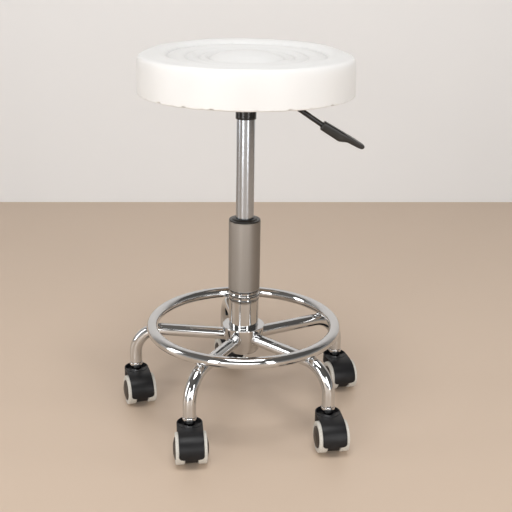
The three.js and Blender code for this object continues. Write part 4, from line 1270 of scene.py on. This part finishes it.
@dataclass
class Seat:
    """The upholstered seat: a white vinyl cover over foam, turned under a plywood board."""

    board_radius: float = 0.150
    board_low: float = 0.5162
    board_top: float = 0.5282
    radius: float = 0.1624
    height: float = 0.0614
    crown_radius: float = 0.134
    seam_radius: float = 0.118
    seam_depth: float = 0.0066
    inner_seams: tuple[float, ...] = (0.091, 0.071, 0.056)
    lean: float = 0.031
    tuck: float = 0.0022
    hem_radius: float = 0.125
    hem_thick: float = 0.0009
    gathers: int = 44
    gather_depth: float = 0.0010
    gather_reach: float = 0.010
    pleats: int = 40
    staple_count: int = 48
    columns: int = 168
    tucks: tuple[float, ...] = (-48.2, -31.8, -16.8, 21.5, 47.4, 78.0, 99.0, 118.0, 139.0, 157.0,
                                178.0, 201.0, 219.0, 236.0, 254.0, 276.0)
    pressure: float = 2.5
    frames: int = 20
    cap: float = 0.003
    seed: int = 7

    def _side_line(self) -> Array:
        """The cover's outline from the board's edge, up the side and over to the sewn circle."""
        out = np.array([0.0, 0.75, 0.98, 1.0, 1.0])
        up = np.array([0.0, 0.006, 0.02, 0.15, 0.4])
        side = np.stack([self.radius - self.tuck * (1 - out),
                         self.board_low + self.height * up], -1)
        inward = np.array([0.026, 0.11, 0.31, 0.65, 1.0])
        up = np.array([0.71, 0.872, 0.937, 0.980, 1.0])
        shoulder = np.stack([self.radius - (self.radius - self.crown_radius) * inward,
                             self.board_low + self.height * up], -1)
        inward = np.array([0.27, 0.54, 0.81, 1.0])
        down = np.array([0.08, 0.32, 0.68, 1.0])
        flank = np.stack([self.crown_radius - (self.crown_radius - self.seam_radius) * inward,
                          self.board_low + self.height - self.seam_depth * down], -1)
        return np.vstack([side, shoulder, flank])

    def _dome_line(self) -> Array:
        """The cover's outline from the outer sewn circle, over the padded rings, to the middle."""
        low = self.board_low
        outer, middle, inner = self.inner_seams
        return np.array([(self.seam_radius, low + self.height - self.seam_depth),
                         ((self.seam_radius + outer) / 2, low + 0.0567), (outer, low + 0.0540),
                         ((outer + middle) / 2, low + 0.0553), (middle, low + 0.0526),
                         ((middle + inner) / 2, low + 0.0536), (inner, low + 0.0513),
                         (0.047, low + 0.0548), (0.036, low + 0.0587), (0.020, low + 0.0614),
                         (0.008, low + 0.0622), (0.0018, low + 0.0623)])

    def _from_seam(self, reach: Array) -> Array:
        """Distance from the nearest sewn circle."""
        seams = np.array([self.seam_radius, *self.inner_seams])
        return np.abs(reach[..., None] - seams).min(-1)

    def _hem_line(self) -> Array:
        """The cover's turned-under edge, from its cut end out to the board's edge."""
        low, thick = self.board_low, self.hem_thick
        return np.array([(self.hem_radius, low - 0.0001),
                         (self.hem_radius - 0.0002, low - thick / 2),
                         (self.hem_radius + 0.0006, low - thick - 0.0002),
                         (0.132, low - thick - 0.0003), (0.140, low - thick - 0.0004),
                         (0.148, low - thick - 0.0005), (0.1535, low - thick - 0.0003),
                         (self.radius - self.tuck - 0.0016, low - 0.0008)])

    def _foam_line(self) -> Array:
        """The hidden inside, from the middle over the board and down to the hem's cut end."""
        recess = self.board_radius + 0.0004
        return np.array([(0.002, self.board_top + 0.0004), (0.075, self.board_top + 0.0004),
                         (recess, self.board_top + 0.0004), (recess, self.board_low - 0.00005),
                         (self.hem_radius + 0.0003, self.board_low - 0.00005)])

    def _swell(self, grid: Array, free: Array) -> Array:
        """Lets the cover swell under pressure, sewn and stapled where it is not free.

        Args:
            grid: (rows, columns, 3) cover, closed at both ends by a pole.
            free: (rows,) how free each row is, 0 where it is sewn or stapled.

        Returns:
            How far each point moved, averaged with its neighbours round the seat and eased off
            towards the cap: d * cap / (cap + d).
        """
        piece = Skin().grid(grid).build("cover_in_work")
        group = piece.vertex_groups.new(name="held")
        columns, still = grid.shape[1], np.zeros_like(grid)
        for row in np.nonzero(free < 1.0)[0].tolist():
            group.add(list(range(row * columns, (row + 1) * columns)), 1.0 - free[row], "REPLACE")
        group.add([grid.shape[0] * columns, grid.shape[0] * columns + 1], 1.0, "REPLACE")
        cloth = piece.modifiers.new("swell", "CLOTH")
        settings = cloth.settings
        settings.quality, settings.mass = 6, 0.4
        settings.vertex_group_mass = "held"
        settings.use_pressure, settings.uniform_pressure_force = True, self.pressure
        settings.tension_stiffness = settings.compression_stiffness = 40.0
        settings.bending_stiffness, settings.shear_stiffness = 8.0, 20.0
        settings.effector_weights.gravity = 0.0
        cloth.collision_settings.use_collision = False
        scene = bpy.context.scene
        for number in range(1, self.frames + 1):
            scene.frame_set(number)
        seen = piece.evaluated_get(bpy.context.evaluated_depsgraph_get())
        moved = points_of(seen)[:grid.shape[0] * columns].reshape(grid.shape) - grid
        bpy.data.objects.remove(piece)
        scene.frame_set(1)
        moved = np.where(np.isfinite(moved), moved, still)
        shift = np.arange(-9, 10)
        share = np.exp(-(shift / 5.0) ** 2)
        share /= share.sum()
        turn = circle(columns)[None, :]
        radial = moved[..., 0] * np.cos(turn) + moved[..., 1] * np.sin(turn)
        radial, rise = (sum(w * np.roll(part, k, 1) for w, k in zip(share, shift.tolist()))
                        for part in (radial, moved[..., 2]))
        length = np.hypot(radial, rise)
        LOG.info("cover swelled by up to %.1f mm", 1000 * float(length.max()))
        radial, rise = (part * self.cap / (self.cap + length) for part in (radial, rise))
        return np.stack([radial * np.cos(turn), radial * np.sin(turn), rise], -1)

    def _pinches(self, angle: Array, offset: Array, count: int, width: float,
                 spread: float) -> Array:
        """How deep the cover is pinched, 0 to 1, by folds at uneven places round the seat.

        Each fold is exp(-(arc distance / w)^2), where w is the width plus the spread times the
        distance from the seam, and the deepest fold at a point counts.
        """
        random = np.random.default_rng(self.seed + count)
        jitter = random.uniform(-0.28, 0.28, count)
        strength = random.uniform(0.55, 1.0, count)
        place = (np.arange(count) + 0.5 + jitter) * 2 * np.pi / count
        depth = np.zeros_like(angle)
        wide = width + spread * np.abs(offset)
        for centre, strong in zip(place, strength):
            arc_distance = ((angle - centre + np.pi) % (2 * np.pi) - np.pi) * self.seam_radius
            depth = np.maximum(depth, strong * np.exp(-(arc_distance / wide) ** 2))
        return depth

    def cover(self, name: str) -> Object:
        """The cushion: hem, side, crown, sewn circle and low dome in one closed skin."""
        hem = smooth_line(self._hem_line(), 14)
        side, dome = smooth_line(self._side_line(), 44), smooth_line(self._dome_line(), 60)
        line = np.vstack([hem, side, dome[1:]])
        sewn = len(hem) + len(side) - 1
        foot = len(hem)
        grid = turned(line, self.columns)
        row = np.arange(len(line))
        seam_gap = self._from_seam(line[:, 0])
        free = smoothstep(row, foot + 2, foot + 12) * smoothstep(
            np.where(row > foot, seam_gap, 1.0), 0.0, 0.004)
        free *= smoothstep(line[:, 0], 0.0, 0.02)
        moved = self._swell(np.concatenate([turned(self._foam_line(), self.columns), grid]),
                            np.concatenate([np.zeros(len(self._foam_line())), free]))
        shaped = grid + moved[len(self._foam_line()):]
        low, high = doubled(shaped[:sewn + 1]), doubled(shaped[sewn:])
        skin = np.concatenate([low, high[1:]])
        seam_row = len(low) - 1
        folded, fold_shade = self._crease(skin, seam_row, 2 * foot)
        inside = turned(self._foam_line(), skin.shape[1])
        piece = Skin(on_axis()).grid(np.concatenate([inside, folded])).build(name, 60.0)
        # The painted fold shade goes on the cover's points; the foam inside gets none.
        shade = np.concatenate([np.zeros(inside.shape[:2]), fold_shade]).ravel()
        paint(piece, "fold_shade", np.concatenate([shade, [0.0, 0.0]]))
        return piece

    def _crease(self, skin: Array, seam_row: int, foot_row: int) -> tuple[Array, Array]:
        """Presses the seam's crease, the gathers beside it and the pleats at the lower edge.

        Args:
            skin: (rows, columns, 3) cover.
            seam_row: row of the sewn circle.
            foot_row: row of the lower edge.

        Returns:
            The cover with its folds, and how much painted shade each point gets in its folds, 0 to
            1. Its top has
            settled towards the sitter: it leans by `lean` times the distance from the axis.
        """
        normal = outward(skin)
        angle = np.arctan2(skin[..., 1], skin[..., 0])
        reach = np.hypot(skin[..., 0], skin[..., 1])
        row = np.arange(len(skin))[:, None]
        on_top = row > (foot_row + seam_row) / 2
        offset = np.where(on_top, self._from_seam(reach), 1.0)
        fade = np.clip(1 - np.abs(offset) / self.gather_reach, 0.0, 1.0) ** 1.4 * on_top
        fade = fade * np.clip(reach / self.seam_radius, 0.0, 1.0) ** 3
        gather = self._pinches(angle, offset, self.gathers, 0.0020, 0.30) * fade
        crease = np.exp(-(offset / 0.0021) ** 2) * on_top
        edge = np.exp(-((skin[..., 2] - self.board_low - 0.0006) / 0.0016) ** 2)
        edge = edge * np.where(row < foot_row - 1, 0.5, 1.0) * (reach > 0.150)
        notch = self._pinches(angle, 0 * offset, self.pleats, 0.0024, 0.0) ** 1.6 * edge
        tucks = np.radians(np.array(self.tucks) - 90.0)
        away = 2 * reach[..., None] * np.sin((angle[..., None] - tucks) / 2)
        tuck = np.exp(-(away / 0.0031) ** 4).max(-1) * edge
        random = np.random.default_rng(self.seed)
        phase = random.uniform(0, 2 * np.pi, 6)
        under = row < foot_row + 6
        ripple = sum(np.sin(k * angle + p) for k, p in zip((31, 47, 66, 83, 97, 118), phase)) / 6
        pleat = ripple * np.where(under, smoothstep(reach, self.hem_radius, 0.140), 0.0)
        pleat = pleat * (1 - smoothstep(skin[..., 2], self.board_low, self.board_low + 0.006))
        slack = sum(np.sin(k * angle + p) for k, p in zip((2, 3, 5, 7, 9, 12), phase[::-1])) / 6
        slack = slack * smoothstep(skin[..., 2], self.board_low + 0.02, self.board_low + 0.06)
        slack = slack * smoothstep(reach, 0.01, 0.10)
        depth = (gather * self.gather_depth + crease * 0.0009 + notch * 0.0012 + tuck * 0.0017
                 + pleat * 0.0003 + slack * 0.0007)
        folded = skin - normal * depth[..., None]
        settled = smoothstep(reach, 0.1600, 0.1450)
        folded[..., 2] += self.lean * folded[..., 1] * settled * (row > foot_row)
        # Painted shade: creases, gathers, hem notches and tucks are darkened in the vinyl's colour,
        # as though shadowed.
        fold_shade = gather**1.5 * 0.187 + crease * 0.162 + notch**1.5 * 0.2
        fold_shade = np.clip(fold_shade + tuck**1.5, 0.0, 1.0)
        return folded, fold_shade

    def staples(self, name: str) -> Object:
        """The staples that hold the hem: each a flattened wire lying across the pull."""
        skin = Skin(on_axis())
        random = np.random.default_rng(self.seed)
        for k in range(self.staple_count):
            angle = (k + random.uniform(-0.2, 0.2)) * 2 * np.pi / self.staple_count
            reach = 0.1325 + random.uniform(-0.0012, 0.0012)
            lean = angle + np.pi / 2 + random.uniform(-0.25, 0.25)
            middle = np.array([reach * math.cos(angle), reach * math.sin(angle)])
            along = np.array([math.cos(lean), math.sin(lean)]) * 0.0048
            low = self.board_low - self.hem_thick - 0.0006
            path = np.array([[*(middle - along), low + 0.0012], [*(middle - along), low + 0.0002],
                             [*(middle - 0.92 * along), low], [*(middle + 0.92 * along), low],
                             [*(middle + along), low + 0.0002], [*(middle + along), low + 0.0012]])
            side = np.array([-along[1], along[0], 0.0]) / 0.0048
            skin.grid(carried(path, side, round_section(0.00032, 6)))
        return skin.build(name, 30.0)

    def build(self, wardrobe: Wardrobe) -> None:
        """Builds and dresses the seat."""
        cover = wardrobe.dress(self.cover("cushion_cover"), Finish.VINYL, "seat", "seat_cushion")
        wardrobe.dress(self.staples("hem_staples"), Finish.PLATED, "seat")
        wardrobe.coat(Finish.PLYWOOD, "seat_board")


# ---------------------------------------------------------------- studio
@dataclass(frozen=True)
class Lamp:
    """A soft area light, aimed at a point; degrees run from the camera's side, left negative."""

    name: str
    degrees: float
    distance: float
    height: float
    size: tuple[float, float]
    power: float
    aim: float = 0.3
    mirrored: bool = True

    def hang(self) -> Object:
        """Makes the light."""
        data = bpy.data.lights.new(self.name, "AREA")
        data.shape, data.energy = "RECTANGLE", self.power
        data.size, data.size_y = self.size
        lamp = bpy.data.objects.new(self.name, data)
        lamp.visible_camera, lamp.visible_glossy = False, self.mirrored
        turn = math.radians(self.degrees)
        place = Vector((FOOT[0] + self.distance * math.sin(turn),
                        FOOT[1] - self.distance * math.cos(turn), self.height))
        aim = Vector((FOOT[0], FOOT[1], self.aim))
        lamp.matrix_world = Matrix.Translation(place) @ (
            (place - aim).to_track_quat("Z", "Y").to_matrix().to_4x4())
        return linked(lamp)


@dataclass
class Studio:
    """Plain floor and wall, soft light, and the camera where the photograph was taken."""

    wall_distance: float = 1.237
    wall_turn: float = 2.6
    distance: float = 1.39626
    height: float = 0.73776
    pitch: float = 18.96
    roll: float = 0.92
    yaw: float = 0.76
    focal_pixels: float = 930.91
    picture_pixels: float = 512.0
    sensor: float = 36.0
    floor_colour: Colour = (0.625, 0.495, 0.385)
    wall_colour: Colour = (0.815, 0.812, 0.81)
    lamps: tuple[Lamp, ...] = (
        Lamp("front", -4.0, 3.2, 0.95, (2.4, 0.9), 22.0),
        Lamp("left_box", -32.0, 1.6, 0.55, (0.32, 1.05), 7.2, 0.35),
        Lamp("right_box", 30.0, 1.6, 0.55, (0.24, 1.05), 5.9, 0.35),
        Lamp("left_fill", -84.0, 1.9, 0.70, (0.5, 1.2), 8.0, 0.4),
        Lamp("right_fill", 88.0, 1.9, 0.70, (0.4, 1.2), 8.5, 0.4, False),
        Lamp("overhead", 5.0, 0.55, 2.3, (1.0, 1.0), 23.3),
    )

    def _sheet(self, name: str, corners: Array, finish: StudioPaint) -> Object:
        """One flat sheet of the set, from its four corners."""
        mesh = bpy.data.meshes.new(name)
        mesh.from_pydata(corners.tolist(), [], [(0, 1, 2, 3)])
        mesh.materials.append(finish.make())
        sheet = linked(bpy.data.objects.new(name, mesh))
        return sheet

    def _world(self) -> None:
        """A soft room: bright at eye level, dim overhead, brighter on the left than the right."""
        world = bpy.data.worlds.new("studio")
        world.use_nodes = True
        nodes = Nodes(world.node_tree)
        background = nodes.tree.nodes["Background"]
        place = nodes.node("ShaderNodeTexCoord", {}, {}, "Generated")
        height = nodes.node("ShaderNodeSeparateXYZ", {}, {0: place}, "Z")
        ramp = nodes.node("ShaderNodeValToRGB", {}, {0: height})
        stops = ramp.socket.node.color_ramp.elements
        stops[0].position, stops[0].color = 0.0, (0.60, 0.59, 0.58, 1.0)
        stops[1].position, stops[1].color = 1.0, (0.22, 0.20, 0.18, 1.0)
        for place_on, grey in ((0.16, 0.60), (0.28, 0.24), (0.55, 0.17)):
            stops.new(place_on).color = (grey, grey * 0.96, grey * 0.91, 1.0)
        across = Signal(nodes, height.socket.node.outputs["X"])
        side = nodes.node("ShaderNodeMapRange", {},
                          {"Value": across, "From Min": -1.0, "From Max": 1.0,
                           "To Min": 0.92, "To Max": 0.54})
        nodes.feed(background.inputs["Color"], ramp)
        nodes.feed(background.inputs["Strength"], side)
        bpy.context.scene.world = world

    def _camera(self) -> None:
        """The camera: turned by yaw and pitch, then rolled about its line of sight."""
        pitch, roll, yaw = (math.radians(a) for a in (self.pitch, self.roll, self.yaw))
        forward = Vector((math.sin(yaw) * math.cos(pitch), math.cos(yaw) * math.cos(pitch),
                          -math.sin(pitch)))
        right = Vector((math.cos(yaw), -math.sin(yaw), 0.0))
        up = right.cross(forward)
        across = right * math.cos(roll) + up * math.sin(roll)
        above = up * math.cos(roll) - right * math.sin(roll)
        data = bpy.data.cameras.new("photo_view")
        data.sensor_width = self.sensor
        data.lens = self.focal_pixels * self.sensor / self.picture_pixels
        camera = bpy.data.objects.new("photo_view", data)
        camera.matrix_world = Matrix.Translation(
            (FOOT[0], FOOT[1] - self.distance, self.height)) @ Matrix(
            (across, above, -forward)).transposed().to_4x4()
        bpy.context.scene.camera = linked(camera)

    def build(self) -> None:
        """Builds the set, the lights and the camera."""
        wall, lean = FOOT[1] + self.wall_distance, 4.0 * math.tan(math.radians(self.wall_turn))
        left, right = (-4.0, wall - lean), (4.0, wall + lean)
        self._sheet("floor", np.array([(-4.0, -4.0, 0.0), (4.0, -4.0, 0.0), (*right, 0.0),
                                       (*left, 0.0)]),
                    StudioPaint("floor_paint", self.floor_colour, 0.45))
        self._sheet("wall", np.array([(*left, 0.0), (*right, 0.0), (*right, 3.0), (*left, 3.0)]),
                    StudioPaint("wall_paint", self.wall_colour, 0.8))
        for lamp in self.lamps:
            lamp.hang()
        self._world()
        self._camera()
        view = bpy.context.scene.view_settings
        view.view_transform, view.look = "Standard", "None"


def main() -> None:
    """Builds the sub-assemblies in order, then the studio."""
    logging.basicConfig(level=logging.INFO, format="%(name)s %(message)s")
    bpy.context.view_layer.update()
    wardrobe = Wardrobe()
    leg_angles = tuple(math.radians(28.2 + 72.0 * k) for k in range(5))
    Studio().build()
    Base(leg_angles).build(wardrobe)
    for k, (angle, swivel) in enumerate(zip(leg_angles, (16.0, 16.0, 18.0, 7.0, 9.0)), 1):
        Caster(k, angle, math.radians(swivel)).build(wardrobe)
    Column().build(wardrobe)
    Mechanism().build(wardrobe)
    Seat().build(wardrobe)


if __name__ == "__main__":
    main()
